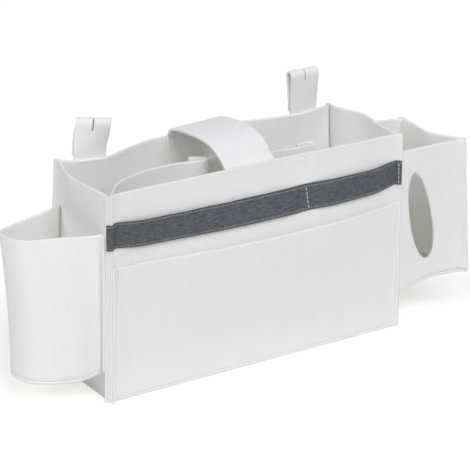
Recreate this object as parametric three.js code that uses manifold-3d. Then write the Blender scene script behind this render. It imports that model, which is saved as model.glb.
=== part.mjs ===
// A bedside caddy sewn from thick white felt: an open box with pinched corner seams, a front pocket,
// a woven tape that makes two pen loops, a bottle pocket, a tissue pocket, a carry handle and two
// hanging loops.
// Millimetres. X runs along the front to the right, Y towards the back, Z up. The origin is the middle of
// the underside of the base. Plan lines are walked so that the outside of the caddy lies on their right.
import * as THREE from "three";
import Module from "manifold-3d";
import { mergeVertices } from "three/addons/utils/BufferGeometryUtils.js";

const { clamp, degToRad, lerp, smoothstep } = THREE.MathUtils;

// Driving dimensions of the box
const BOX_LENGTH = 330;
const BOX_DEPTH = 116;
const BOX_HEIGHT = 205;
const FELT = 3;
const FIT_GAP = 0.3;
const SEAM_ALLOWANCE = 6;
const FRONT_RIDGE_TURN = 45;
const BACK_RIDGE_TURN = 20;
const BASE_FLARE = 3.5;

// How far the soft walls stand out of true
const FRONT_BULGE_LEFT = 8;
const FRONT_BULGE_RIGHT = 17;
const BACK_RIM_PUSH = 7;
const RIGHT_RIM_BULGE = 6;

// Front pocket and woven tape
const POCKET_HEIGHT = 134;
const POCKET_SLACK = 5;
const TAPE_WIDTH = 25;
const TAPE_THICKNESS = 1.2;
const TAPE_DROP = 27;
const TAPE_WRAP = 6;
const TAPE_TACK_PLACE = 51.5;
const TAPE_TACK_INSET = 8;
const PEN_LOOP = 7;
const PEN_LOOP_RISE = 26;

// Stitch rows
const THREAD_WIDTH = 1;
const THREAD_THICKNESS = 0.5;
const STITCH_INSET = 3;

// Dividers inside the box
const DIVIDER_HEIGHT = 198;
const DIVIDER_LEAD = 8;
const LEFT_HEM_RADIUS = 5;
const LEFT_HEM_TURN = 150;
const RIGHT_HEM_RADIUS = 5.5;
const RIGHT_HEM_TURN = 190;
const HEM_TAIL = 12;

// Bottle pocket on the left end
const BOTTLE_BOTTOM = 28;
const BOTTLE_RIM = 165;
const BOTTLE_RIM_REACH = 81;
const BOTTLE_BASE_REACH = 72;
const BOTTLE_FLANGE = 6;
const BOTTLE_BACK_INSET = 18;
const BOTTLE_FOLD_RADIUS = 2.6;
const BOTTLE_FOLD_START = 79;

// Tissue pocket on the right end
const TISSUE_BOTTOM = 37;
const TISSUE_RIM = 187;
const TISSUE_FRONT_WIDTH = 76;
const TISSUE_BACK_WIDTH = 64;
const TISSUE_LEAN = 7;
const TISSUE_DEPTH = 87;
const TISSUE_FORWARD = 4;
const TISSUE_BACK_INSET = 22;
const TISSUE_FLANGE = 10;
const TISSUE_SEAM = 4;
const TISSUE_CREASE = 13;
const TISSUE_CREASE_PLACE = 0.4;
const TISSUE_CREASE_FADE = 0.7;
const TISSUE_BOW = 9;
const OVAL_WIDTH = 25;
const OVAL_HEIGHT = 103;
const OVAL_PLACE = 28;
const OVAL_MIDDLE = 111;
const OVAL_LEAN = 11.5;

// Carry handle
const HANDLE_WIDTH = 55;
const HANDLE_SKEW = 9;
const HANDLE_RISE = 13;
const HANDLE_FRONT_DROP = 28.6;
const HANDLE_FRONT_TAIL = 45;
const HANDLE_BACK_TAIL = 55;
const HANDLE_STITCH_DROP = 40;
const HANDLE_FRONT_STITCH_DROP = 20;

// Hanging loops
const LOOP_WIDTH = 33;
const LEFT_LOOP_PLACE = -121;
const LEFT_LOOP_RISE = 36;
const RIGHT_LOOP_PLACE = 121.5;
const RIGHT_LOOP_RISE = 44;
const LOOP_END_RISE = 5;
const LOOP_TUNNEL = 4.8;
const LOOP_TAIL = 34;
const LOOP_STITCH_DROP = 20;
const LOOP_SLIT = 2;
const LOOP_SLIT_DEPTH = 13;
const CREASE_RISE = 3;
const CREASE_HALF = 3;

// Grid fineness
const WALL_STEP = 26;
const LEVEL_STEP = 24;
const PANEL_STEPS = 4;
const CURVE_STEPS = 22;
const ARC_STEPS = 5;
const HANDLE_STEPS = 26;
const OVAL_STEPS = 40;

// Values that follow
const LAYER = FELT + FIT_GAP;
const FLOOR = FELT + FIT_GAP;
const TAPE_TOP = BOX_HEIGHT - TAPE_DROP;
const TAPE_HEIGHT = TAPE_TOP - TAPE_WIDTH;
const CREASE_HEIGHT = BOX_HEIGHT + CREASE_RISE;

const felt = new THREE.MeshStandardMaterial({ color: "#e4e5e8", roughness: 0.95, metalness: 0 });
const webbing = new THREE.MeshStandardMaterial({ color: "#484b53", roughness: 0.8, metalness: 0 });
const thread = new THREE.MeshStandardMaterial({ color: "#f1f1ee", roughness: 0.7, metalness: 0 });

const caddy = new THREE.Group();
caddy.name = "bedside_caddy";

// The box spreads a little towards its base, so every point moves out along X by its share.
function settle(geometry) {
  const position = geometry.attributes.position;
  const spread = BASE_FLARE / (BOX_LENGTH / 2);
  for (let i = 0; i < position.count; i += 1) {
    const low = 1 - position.getZ(i) / BOX_HEIGHT;
    position.setX(i, position.getX(i) * (1 + spread * low));
  }
  return geometry;
}

function addPiece(name, geometry, material) {
  const mesh = new THREE.Mesh(settle(geometry), material);
  geometry.computeVertexNormals();
  mesh.name = name;
  caddy.add(mesh);
}

// Plan geometry
function point(x, y) {
  return new THREE.Vector2(x, y);
}

function rightOf(direction) {
  return point(direction.y, -direction.x);
}

function moved(start, direction, distance) {
  return start.clone().addScaledVector(direction, distance);
}

// The point where the line through a along aWay meets the line through b along bWay.
function meeting(a, aWay, b, bWay) {
  const distance = b.clone().sub(a).cross(bWay) / aWay.cross(bWay);
  return moved(a, aWay, distance);
}

// Mitred offset vectors of an open line, one per point, pointing to its right.
function sideVectors(line) {
  const sides = [];
  for (let i = 0; i < line.length - 1; i += 1) {
    sides.push(rightOf(line[i + 1].clone().sub(line[i]).normalize()));
  }
  return line.map((_, i) => {
    const before = sides[Math.max(i - 1, 0)];
    const after = sides[Math.min(i, sides.length - 1)];
    const middle = before.clone().add(after);
    return middle.multiplyScalar(2 / middle.lengthSq());
  });
}

function offsetLine(line, distance) {
  const sides = sideVectors(line);
  return line.map((corner, i) => moved(corner, sides[i], distance));
}

// Values from the first stop to the last, with every stop kept and no gap wider than the step.
function spread(stops, step) {
  const values = [stops[0]];
  for (let i = 1; i < stops.length; i += 1) {
    const count = Math.max(1, Math.ceil(Math.abs(stops[i] - stops[i - 1]) / step));
    for (let k = 1; k <= count; k += 1) {
      values.push(lerp(stops[i - 1], stops[i], k / count));
    }
  }
  return values;
}

// A soft rise from start to peak and fall to end, between 0 and 1.
function hump(value, start, peak, end) {
  return value < peak ? smoothstep(value, start, peak) : 1 - smoothstep(value, peak, end);
}

// Solids
// A closed solid between the right and left faces of a sheet: rows of [right, left] point pairs.
function gridSolid(rows) {
  const columns = rows[0].length;
  const positions = rows.flat(2).flatMap((corner) => corner.toArray());
  const at = (row, column, face) => (row * columns + column) * 2 + face;
  const triangles = [];
  const quad = (a, b, c, d) => triangles.push(a, b, c, a, c, d);
  const lastRow = rows.length - 1;
  const lastColumn = columns - 1;
  for (let j = 0; j < lastRow; j += 1) {
    for (let i = 0; i < lastColumn; i += 1) {
      quad(at(j, i, 0), at(j, i + 1, 0), at(j + 1, i + 1, 0), at(j + 1, i, 0));
      triangles.push(at(j, i, 1), at(j + 1, i + 1, 1), at(j, i + 1, 1));
      triangles.push(at(j, i, 1), at(j + 1, i, 1), at(j + 1, i + 1, 1));
    }
    quad(at(j, 0, 1), at(j, 0, 0), at(j + 1, 0, 0), at(j + 1, 0, 1));
    quad(at(j, lastColumn, 0), at(j, lastColumn, 1), at(j + 1, lastColumn, 1), at(j + 1, lastColumn, 0));
  }
  for (let i = 0; i < lastColumn; i += 1) {
    quad(at(lastRow, i, 0), at(lastRow, i + 1, 0), at(lastRow, i + 1, 1), at(lastRow, i, 1));
    quad(at(0, i, 1), at(0, i + 1, 1), at(0, i + 1, 0), at(0, i, 0));
  }
  const geometry = new THREE.BufferGeometry();
  geometry.setAttribute("position", new THREE.Float32BufferAttribute(positions, 3));
  geometry.setIndex(triangles);
  return geometry;
}

const still = () => new THREE.Vector3();

// A standing layer of cloth. The surface gives a plan line for each level and how far each point is pushed.
function standingLayer(surface, { levels, offset = () => 0, thickness = FELT, from = 0, to }) {
  const rows = levels.map((z) => {
    const line = surface.line(z);
    const sides = sideVectors(line);
    const pairs = [];
    for (let i = from; i <= (to ?? line.length - 1); i += 1) {
      const push = surface.push(line[i], z);
      const faces = [0.5, -0.5].map((half) => {
        const place = moved(line[i], sides[i], offset(line[i], z) + half * thickness);
        return new THREE.Vector3(place.x, place.y, z).add(push);
      });
      pairs.push(faces);
    }
    return pairs;
  });
  return gridSolid(rows);
}

// A flat panel with the given plan outline, lying on a level.
function flatPanel(outline, level) {
  const options = { depth: FELT, bevelEnabled: false };
  return new THREE.ExtrudeGeometry(new THREE.Shape(outline), options).translate(0, 0, level);
}

// A band with its profile in the YZ plane, centred on a place along X.
function bentBand(profile, width, place) {
  const outline = [...offsetLine(profile, FELT / 2), ...offsetLine(profile, -FELT / 2).reverse()];
  const options = { depth: width, bevelEnabled: false };
  const geometry = new THREE.ExtrudeGeometry(new THREE.Shape(outline), options);
  const turn = new THREE.Matrix4().makeBasis(
    new THREE.Vector3(0, 1, 0),
    new THREE.Vector3(0, 0, 1),
    new THREE.Vector3(1, 0, 0),
  );
  return geometry.applyMatrix4(turn).translate(place - width / 2, 0, 0);
}

const wasm = await Module();
wasm.setup();

function toSolid(geometry) {
  const bare = geometry.clone();
  bare.deleteAttribute("normal");
  bare.deleteAttribute("uv");
  const merged = mergeVertices(bare, 1e-4);
  return new wasm.Manifold(new wasm.Mesh({
    numProp: 3,
    vertProperties: merged.attributes.position.array,
    triVerts: new Uint32Array(merged.index.array),
  }));
}

function cutAway(geometry, tool) {
  const mesh = toSolid(geometry).subtract(toSolid(tool)).getMesh();
  const result = new THREE.BufferGeometry();
  result.setAttribute("position", new THREE.BufferAttribute(mesh.vertProperties, 3));
  result.setIndex(new THREE.BufferAttribute(mesh.triVerts, 1));
  return result;
}

// Corner seams: the edges of the panels lie together and stand outwards as a ridge.
function cornerSeam(tip, out, allowance) {
  return { tip, out, root: moved(tip, out, -allowance) };
}

function boxSeam(sideX, sideY, turn) {
  const angle = degToRad(turn);
  const out = point(sideX * Math.sin(angle), sideY * Math.cos(angle));
  const tip = point(sideX * BOX_LENGTH / 2, sideY * BOX_DEPTH / 2);
  return cornerSeam(tip, out, SEAM_ALLOWANCE);
}

const frontLeft = boxSeam(-1, -1, FRONT_RIDGE_TURN);
const frontRight = boxSeam(1, -1, FRONT_RIDGE_TURN);
const backRight = boxSeam(1, 1, BACK_RIDGE_TURN);
const backLeft = boxSeam(-1, 1, BACK_RIDGE_TURN);

// A panel from one corner seam to the next. Layers count out from the middle of each seam's stack.
function panelLine(start, end, startLayer, endLayer, between) {
  const along = end.root.clone().sub(start.root).normalize();
  const startSide = rightOf(start.out.clone().negate()).multiplyScalar(startLayer * LAYER);
  const endSide = rightOf(end.out).multiplyScalar(endLayer * LAYER);
  const startTurn = meeting(start.root.clone().add(startSide), start.out, start.root, along);
  const endTurn = meeting(end.root.clone().add(endSide), end.out, start.root, along);
  const startTip = start.tip.clone().add(startSide);
  const endTip = end.tip.clone().add(endSide);
  return [startTip, ...between(startTurn, endTurn), endTip];
}

// Points between two turns, at chosen places along X or Y.
function stations(axis, stops) {
  return (startTurn, endTurn) => {
    const values = spread([startTurn[axis], ...stops, endTurn[axis]], WALL_STEP);
    const length = endTurn[axis] - startTurn[axis];
    return values.map((value) => startTurn.clone().lerp(endTurn, (value - startTurn[axis]) / length));
  };
}

// A set number of points between two turns.
function evenly(count) {
  return (startTurn, endTurn) => {
    const shares = Array.from({ length: count + 1 }, (_, k) => k / count);
    return shares.map((share) => startTurn.clone().lerp(endTurn, share));
  };
}

// In the front left corner a divider lies in the middle of the stack; in the other corners two panels meet.
const TRIPLE_STACK = 1;
const DOUBLE_STACK = 0.5;
const tackPlaces = {
  left: frontLeft.root.x + TAPE_TACK_INSET,
  middle: TAPE_TACK_PLACE,
  right: frontRight.root.x - TAPE_TACK_INSET,
};
const loopShoulders = [
  tackPlaces.left + PEN_LOOP_RISE,
  tackPlaces.middle - PEN_LOOP_RISE,
  tackPlaces.middle + PEN_LOOP_RISE,
  tackPlaces.right - PEN_LOOP_RISE,
];
const loopSlopes = [
  tackPlaces.left + PEN_LOOP_RISE / 2,
  tackPlaces.middle - PEN_LOOP_RISE / 2,
  tackPlaces.middle + PEN_LOOP_RISE / 2,
  tackPlaces.right - PEN_LOOP_RISE / 2,
];
const frontStops = [...Object.values(tackPlaces), ...loopShoulders, ...loopSlopes].sort((a, b) => a - b);
const loopStops = (place) => [place + LOOP_WIDTH / 2, place, place - LOOP_WIDTH / 2];
const backStops = [
  ...loopStops(RIGHT_LOOP_PLACE),
  HANDLE_WIDTH / 2,
  -HANDLE_WIDTH / 2,
  ...loopStops(LEFT_LOOP_PLACE),
];

const frontLine = panelLine(frontLeft, frontRight, TRIPLE_STACK, DOUBLE_STACK, stations("x", frontStops));
const endBulgeStops = [-BOX_DEPTH / 4, BOX_DEPTH / 10, BOX_DEPTH / 4];
const rightLine = panelLine(frontRight, backRight, DOUBLE_STACK, DOUBLE_STACK, stations("y", endBulgeStops));
const backLine = panelLine(backRight, backLeft, DOUBLE_STACK, DOUBLE_STACK, stations("x", backStops));
const leftLine = panelLine(backLeft, frontLeft, DOUBLE_STACK, TRIPLE_STACK,
  stations("y", endBulgeStops.toReversed()));

const turnReach = -frontLine[1].x;
const backTurnReach = backLine[1].x;

// How the walls are pushed out of true
function frontBulge(place, z) {
  const along = clamp(place.x / (2 * turnReach) + 0.5, 0, 1);
  const reach = lerp(FRONT_BULGE_LEFT, FRONT_BULGE_RIGHT, along) * Math.sin(Math.PI * along);
  const rise = z < POCKET_HEIGHT
    ? (z - FLOOR) / (POCKET_HEIGHT - FLOOR)
    : (BOX_HEIGHT - z) / (BOX_HEIGHT - POCKET_HEIGHT);
  return reach * smoothstep(rise, 0, 1);
}

function backPush(place, z) {
  const share = hump(Math.abs(place.x), HANDLE_WIDTH, RIGHT_LOOP_PLACE, backTurnReach);
  return BACK_RIM_PUSH * share * (z / BOX_HEIGHT) ** 2;
}

function rightBulge(place, z) {
  const share = hump(place.y, ...endBulgeStops);
  return RIGHT_RIM_BULGE * share * (z / BOX_HEIGHT) ** 3;
}

const front = { line: () => frontLine, push: (place, z) => new THREE.Vector3(0, -frontBulge(place, z), 0) };
const back = { line: () => backLine, push: (place, z) => new THREE.Vector3(0, -backPush(place, z), 0) };
const left = { line: () => leftLine, push: still };
const right = { line: () => rightLine, push: (place, z) => new THREE.Vector3(rightBulge(place, z), 0, 0) };

const frontLevels = spread([FLOOR, POCKET_HEIGHT, TAPE_HEIGHT, TAPE_TOP, BOX_HEIGHT], LEVEL_STEP);
const loopTailBottom = BOX_HEIGHT - LOOP_TAIL;
const wallLevels = spread([FLOOR, loopTailBottom, BOX_HEIGHT], LEVEL_STEP);

// Box walls and base
function makeBox() {
  addPiece("front_wall", standingLayer(front, { levels: frontLevels }), felt);
  addPiece("right_end_wall", standingLayer(right, { levels: wallLevels }), felt);
  addPiece("back_wall", standingLayer(back, { levels: wallLevels }), felt);
  addPiece("left_end_wall", standingLayer(left, { levels: wallLevels }), felt);
  const outline = [
    ...offsetLine(frontLine, LAYER + FELT / 2),
    ...offsetLine(rightLine, FELT / 2),
    ...offsetLine(backLine, FELT / 2),
    ...offsetLine(leftLine, FELT / 2),
  ];
  addPiece("base_panel", flatPanel(outline, 0), felt);
}

// Front pocket: a second layer in the same corner seams, slack at its mouth
function pocketOffset(place, z) {
  const across = Math.cos(Math.PI / 2 * clamp(place.x / turnReach, -1, 1));
  const mouth = smoothstep(z, FLOOR, POCKET_HEIGHT);
  return LAYER + POCKET_SLACK * Math.sqrt(Math.max(across, 0)) * mouth;
}

function makeFrontPocket() {
  const levels = frontLevels.filter((z) => z <= POCKET_HEIGHT);
  addPiece("front_pocket_panel", standingLayer(front, { levels, offset: pocketOffset }), felt);
}

// Woven tape: flat at its three tacks, standing off the wall between them
const TAPE_OFFSET = FELT / 2 + FIT_GAP + TAPE_THICKNESS / 2;

function tapeOffset(place) {
  const { left: first, middle, right: last } = tackPlaces;
  const nearest = Math.min(Math.abs(place.x - first), Math.abs(place.x - middle), Math.abs(place.x - last));
  const inside = place.x > first && place.x < last;
  return TAPE_OFFSET + (inside ? PEN_LOOP * smoothstep(nearest, THREAD_WIDTH, PEN_LOOP_RISE) : 0);
}

function makeTape() {
  const tip = moved(frontLine[0], frontLeft.out, -FELT / 2);
  const across = rightOf(frontLeft.out);
  const line = [moved(tip, across, TAPE_WRAP), tip, ...frontLine.slice(1)];
  const levels = frontLevels.filter((z) => z >= TAPE_HEIGHT && z <= TAPE_TOP);
  const tape = { line: () => line, push: front.push };
  addPiece("pen_loop_tape", standingLayer(tape, {
    levels,
    offset: tapeOffset,
    thickness: TAPE_THICKNESS,
  }), webbing);
}

// A stitch row standing on the front, at a place along X.
function frontStitch(place, low, high, offset) {
  const y = frontLine[1].y;
  const line = [point(place - THREAD_WIDTH / 2, y), point(place + THREAD_WIDTH / 2, y)];
  const push = (_, z) => front.push(point(place, y), z);
  return standingLayer({ line: () => line, push }, {
    levels: [low, ...frontLevels.filter((z) => z > low && z < high), high],
    offset: () => offset + FIT_GAP + THREAD_THICKNESS / 2,
    thickness: THREAD_THICKNESS,
  });
}

function makeTapeTacks() {
  const inset = STITCH_INSET / 2;
  for (const [name, place] of Object.entries(tackPlaces)) {
    const row = frontStitch(place, TAPE_HEIGHT + inset, TAPE_TOP - inset, TAPE_OFFSET + TAPE_THICKNESS / 2);
    addPiece(`tape_tack_${name}`, row, thread);
  }
}

// Threads that close the corner ridges, in the middle of each ridge's outermost face
function ridgeThread(line, tipIndex, turnIndex, offset, low, high) {
  const tip = line[tipIndex];
  const turn = line[turnIndex];
  const middle = tip.clone().lerp(turn, 0.5);
  const along = turn.clone().sub(tip).normalize();
  const strip = [moved(middle, along, -THREAD_WIDTH / 2), moved(middle, along, THREAD_WIDTH / 2)];
  if (tipIndex > turnIndex) {
    strip.reverse();
  }
  return standingLayer({ line: () => strip, push: still }, {
    levels: [low, high],
    offset: () => offset + FELT / 2 + FIT_GAP + THREAD_THICKNESS / 2,
    thickness: THREAD_THICKNESS,
  });
}

function makeCornerThreads() {
  const low = FLOOR + STITCH_INSET;
  const pocketTop = POCKET_HEIGHT - STITCH_INSET;
  const top = BOX_HEIGHT - STITCH_INSET;
  const lastFront = frontLine.length - 1;
  const lastBack = backLine.length - 1;
  addPiece("corner_thread_front_left", ridgeThread(frontLine, 0, 1, LAYER, low, pocketTop), thread);
  addPiece("corner_thread_front_right",
    ridgeThread(frontLine, lastFront, lastFront - 1, LAYER, low, pocketTop), thread);
  addPiece("corner_thread_back_right", ridgeThread(backLine, 0, 1, 0, low, top), thread);
  addPiece("corner_thread_back_left", ridgeThread(backLine, lastBack, lastBack - 1, 0, low, top), thread);
}

// Dividers: plan points as shares of the box's length from the left and of its depth from the front. The
// left strip leaves the front corner seam and the right strip starts under the handle, each ends in an open
// hem, and the centre strip runs between them under the handle
const leftDividerShape = [
  [0.052, 0.25],
  [0.1, 0.355],
  [0.17, 0.465],
  [0.25, 0.53],
  [0.333, 0.524],
  [0.408, 0.462],
];
const rightDividerShape = [[0.583, 0.366], [0.626, 0.354], [0.69, 0.327], [0.754, 0.317]];

function boxPlace([along, inward]) {
  return point(BOX_LENGTH * (along - 0.5), BOX_DEPTH * (inward - 0.5));
}

function smoothLine(points) {
  return new THREE.SplineCurve(points).getPoints(CURVE_STEPS);
}

// The strip turns left round an open hem and runs on a little.
function hem(start, radius, turn) {
  const centre = point(start.x, start.y + radius);
  const points = [];
  for (let k = 1; k <= 2 * ARC_STEPS; k += 1) {
    const angle = degToRad(turn * k / (2 * ARC_STEPS) - 90);
    points.push(moved(centre, point(Math.cos(angle), Math.sin(angle)), radius));
  }
  const heading = degToRad(turn);
  points.push(moved(points.at(-1), point(Math.cos(heading), Math.sin(heading)), HEM_TAIL));
  return points;
}

function leftDividerLine() {
  const leave = moved(frontLeft.root, frontLeft.out, -DIVIDER_LEAD);
  const sweep = smoothLine([leave, ...leftDividerShape.map(boxPlace)]);
  return [frontLeft.tip, frontLeft.root, ...sweep, ...hem(sweep.at(-1), LEFT_HEM_RADIUS, LEFT_HEM_TURN)];
}

function rightDividerLine() {
  const row = smoothLine(rightDividerShape.map(boxPlace));
  return [...row, ...hem(row.at(-1), RIGHT_HEM_RADIUS, RIGHT_HEM_TURN)];
}

function centreDividerLine() {
  const [start, lapEnd] = rightDividerShape.map(boxPlace);
  const leftTip = boxPlace(leftDividerShape.at(-1)).add(point(LEFT_HEM_RADIUS + LAYER, LEFT_HEM_RADIUS));
  return [leftTip, point(start.x, start.y + LAYER), point(lapEnd.x, lapEnd.y + LAYER)];
}

function makeDividers() {
  const levels = spread([FLOOR, DIVIDER_HEIGHT], 2 * LEVEL_STEP);
  const lines = {
    left_divider: leftDividerLine(),
    centre_divider: centreDividerLine(),
    right_divider: rightDividerLine(),
  };
  for (const [name, line] of Object.entries(lines)) {
    addPiece(name, standingLayer({ line: () => line, push: still }, { levels }), felt);
  }
}

// Bottle pocket: shares of its reach and of the end's depth, from the back round to the front
const bottleRimShape = [
  [0.19, 0.77], [0.7, 0.655], [0.96, 0.57],
  [0.99, 0.43], [0.86, 0.255], [0.45, 0.15],
];
const bottleBaseShape = [
  [0.32, 0.74], [0.7, 0.6], [0.93, 0.49],
  [1, 0.35], [0.9, 0.13], [0.45, 0.03],
];

// Middle of the left end wall at a place along Y
function leftWallAt(y) {
  const share = (y - frontLeft.root.y) / (backLeft.root.y - frontLeft.root.y);
  return lerp(frontLeft.root.x, backLeft.root.x, share);
}

function bottleFold() {
  const side = rightOf(frontLeft.out);
  const end = moved(frontLeft.root, side, 2 * LAYER);
  const centre = moved(end, side, BOTTLE_FOLD_RADIUS);
  const last = Math.atan2(-side.y, -side.x);
  const arc = [];
  for (let k = 0; k <= ARC_STEPS; k += 1) {
    const angle = lerp(degToRad(BOTTLE_FOLD_START), last, k / ARC_STEPS);
    arc.push(moved(centre, point(Math.cos(angle), Math.sin(angle)), BOTTLE_FOLD_RADIUS));
  }
  return [...arc, moved(frontLeft.tip, side, 2 * LAYER)];
}

function bottleCurve(z) {
  const up = (z - BOTTLE_BOTTOM) / (BOTTLE_RIM - BOTTLE_BOTTOM);
  const reach = lerp(BOTTLE_BASE_REACH, BOTTLE_RIM_REACH, up);
  const contactY = BOX_DEPTH / 2 - BOTTLE_BACK_INSET;
  const contact = point(leftWallAt(contactY) - LAYER, contactY);
  const shape = bottleRimShape.map(([out, far], k) => {
    const baseOut = bottleBaseShape[k][0];
    const baseFar = bottleBaseShape[k][1];
    const x = -BOX_LENGTH / 2 - reach * lerp(baseOut, out, up);
    return point(x, BOX_DEPTH * (lerp(baseFar, far, up) - 0.5));
  });
  const fold = bottleFold();
  const curve = new THREE.SplineCurve([contact, ...shape, fold[0]]);
  return { contact, curve: curve.getPoints(CURVE_STEPS), fold };
}

function bottleLine(z) {
  const { contact, curve, fold } = bottleCurve(z);
  const flangeEnd = point(leftWallAt(contact.y + BOTTLE_FLANGE) - LAYER, contact.y + BOTTLE_FLANGE);
  return [flangeEnd, ...curve, ...fold.slice(1)];
}

function makeBottlePocket() {
  const bottle = { line: bottleLine, push: still };
  const seat = BOTTLE_BOTTOM + FELT + FIT_GAP;
  const levels = spread([seat, BOTTLE_RIM], LEVEL_STEP);
  addPiece("bottle_pocket_wall", standingLayer(bottle, { levels }), felt);
  const { curve } = bottleCurve(BOTTLE_BOTTOM);
  const outer = offsetLine(curve, FELT / 2).slice(1, -1);
  const wallFace = (y) => point(leftWallAt(y) - FELT / 2 - FIT_GAP, y);
  const outline = [wallFace(outer[0].y), ...outer, wallFace(frontLeft.root.y + SEAM_ALLOWANCE + LAYER)];
  addPiece("bottle_pocket_base", flatPanel(outline, BOTTLE_BOTTOM), felt);
  addPiece("bottle_base_thread", standingLayer(bottle, {
    levels: [seat + STITCH_INSET, seat + STITCH_INSET + THREAD_WIDTH],
    offset: () => FELT / 2 + FIT_GAP + THREAD_THICKNESS / 2,
    thickness: THREAD_THICKNESS,
    from: 3,
    to: CURVE_STEPS - 1,
  }), thread);
}

// Tissue pocket: three panels with their own pinched seams, and flanges on the right end wall
function rightWallAt(y) {
  return -leftWallAt(y);
}

function tissueSeams(z) {
  const down = (TISSUE_RIM - z) / (TISSUE_RIM - TISSUE_BOTTOM);
  const lean = TISSUE_LEAN * down;
  const frontY = -BOX_DEPTH / 2 - TISSUE_FORWARD;
  const frontTip = point(BOX_LENGTH / 2 + TISSUE_FRONT_WIDTH + lean, frontY);
  const backTip = point(BOX_LENGTH / 2 + TISSUE_BACK_WIDTH + lean, frontY + TISSUE_DEPTH);
  return {
    frontSeam: cornerSeam(frontTip, point(1, -1).normalize(), TISSUE_SEAM),
    backSeam: cornerSeam(backTip, point(1, 1).normalize(), TISSUE_SEAM),
    down,
  };
}

// The front panel's edge lies in the front corner's stack and leaves it at the tip of the ridge.
function frontFlange() {
  const side = rightOf(frontRight.out).multiplyScalar(-(DOUBLE_STACK + 1) * LAYER);
  const root = frontRight.tip.clone().add(side);
  const tip = frontRight.root.clone().add(side);
  return { root, tip, out: frontRight.out.clone().negate() };
}

// The back panel's edge lies flat on the end wall.
function backFlange() {
  const y = BOX_DEPTH / 2 - TISSUE_BACK_INSET;
  const tipY = y + TISSUE_FLANGE;
  const root = point(rightWallAt(y) + LAYER, y);
  const tip = point(rightWallAt(tipY) + LAYER, tipY);
  return { root, tip, out: tip.clone().sub(root).normalize() };
}

function tissueFrontLine(z) {
  const { frontSeam, down } = tissueSeams(z);
  const bowed = (startTurn, endTurn) => {
    const places = evenly(PANEL_STEPS)(startTurn, endTurn);
    return places.map((place, k) => {
      const share = Math.sin(Math.PI * k / PANEL_STEPS);
      return place.add(point(0, TISSUE_BOW * down * share));
    });
  };
  return panelLine(frontFlange(), frontSeam, 0, DOUBLE_STACK, bowed);
}

function tissueSideLine(z) {
  const { frontSeam, backSeam, down } = tissueSeams(z);
  const creased = (startTurn, endTurn) => {
    const crease = startTurn.clone().lerp(endTurn, TISSUE_CREASE_PLACE);
    crease.x -= TISSUE_CREASE * (1 - TISSUE_CREASE_FADE * down);
    const before = startTurn.clone().lerp(crease, 0.5);
    const after = crease.clone().lerp(endTurn, 0.5);
    return [startTurn, before, crease, after, endTurn];
  };
  return panelLine(frontSeam, backSeam, DOUBLE_STACK, DOUBLE_STACK, creased);
}

function tissueBackLine(z) {
  const { backSeam } = tissueSeams(z);
  return panelLine(backSeam, backFlange(), DOUBLE_STACK, 0, evenly(PANEL_STEPS));
}

function ovalTool() {
  const outline = new THREE.Shape();
  outline.absellipse(0, 0, OVAL_WIDTH / 2, OVAL_HEIGHT / 2, 0, 2 * Math.PI);
  const options = { depth: BOX_DEPTH / 2, bevelEnabled: false, curveSegments: OVAL_STEPS };
  const tool = new THREE.ExtrudeGeometry(outline, options);
  tool.rotateZ(degToRad(OVAL_LEAN)).rotateX(Math.PI / 2);
  return tool.translate(BOX_LENGTH / 2 + OVAL_PLACE, -BOX_DEPTH / 4, OVAL_MIDDLE);
}

function makeTissuePocket() {
  const seat = TISSUE_BOTTOM + FELT + FIT_GAP;
  const levels = spread([seat, TISSUE_RIM], LEVEL_STEP);
  const frontPanel = { line: tissueFrontLine, push: still };
  const frontSolid = cutAway(standingLayer(frontPanel, { levels }), ovalTool());
  addPiece("tissue_pocket_front", frontSolid, felt);
  addPiece("tissue_pocket_side", standingLayer({ line: tissueSideLine, push: still }, { levels }), felt);
  addPiece("tissue_pocket_back", standingLayer({ line: tissueBackLine, push: still }, { levels }), felt);
  const frontEdge = offsetLine(tissueFrontLine(TISSUE_BOTTOM), FELT / 2).slice(1);
  const sideEdge = offsetLine(tissueSideLine(TISSUE_BOTTOM), FELT / 2);
  const backEdge = offsetLine(tissueBackLine(TISSUE_BOTTOM), FELT / 2).slice(0, -1);
  const wallFace = (y) => point(rightWallAt(y) + FELT / 2 + FIT_GAP, y);
  const first = wallFace(frontRight.root.y + SEAM_ALLOWANCE + LAYER);
  const last = wallFace(backEdge[backEdge.length - 1].y);
  const outline = [first, ...frontEdge, ...sideEdge, ...backEdge, last];
  addPiece("tissue_pocket_base", flatPanel(outline, TISSUE_BOTTOM), felt);
  addPiece("tissue_base_thread", standingLayer(frontPanel, {
    levels: [seat + STITCH_INSET, seat + STITCH_INSET + THREAD_WIDTH],
    offset: () => FELT / 2 + FIT_GAP + THREAD_THICKNESS / 2,
    thickness: THREAD_THICKNESS,
    from: 2,
    to: tissueFrontLine(seat).length - 3,
  }), thread);
}

// Carry handle: a band from the inside of the back wall, over a flat arch, to the inside of the front wall
const handleBack = backLine[1].y - LAYER;
const handleFront = frontLine[1].y + LAYER;

// Shares of the span from back to front, each with its height as a share of the crown's
const handleArch = [[0, 0], [0.06, 0.7], [0.25, 1], [0.52, 1], [0.74, 0.45], [0.9, -0.79]];

function handleProfile() {
  const span = handleBack - handleFront;
  const at = (share, rise) => point(handleBack - share * span, BOX_HEIGHT + rise);
  const crown = HANDLE_RISE - FELT / 2;
  const rises = handleArch.map(([share, height]) => at(share, crown * height));
  const arch = new THREE.SplineCurve([...rises, at(1, -HANDLE_FRONT_DROP)]);
  const backTail = at(0, -HANDLE_BACK_TAIL);
  const frontTail = at(1, -HANDLE_FRONT_DROP - HANDLE_FRONT_TAIL);
  return [backTail, ...arch.getPoints(HANDLE_STEPS), frontTail];
}

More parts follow.
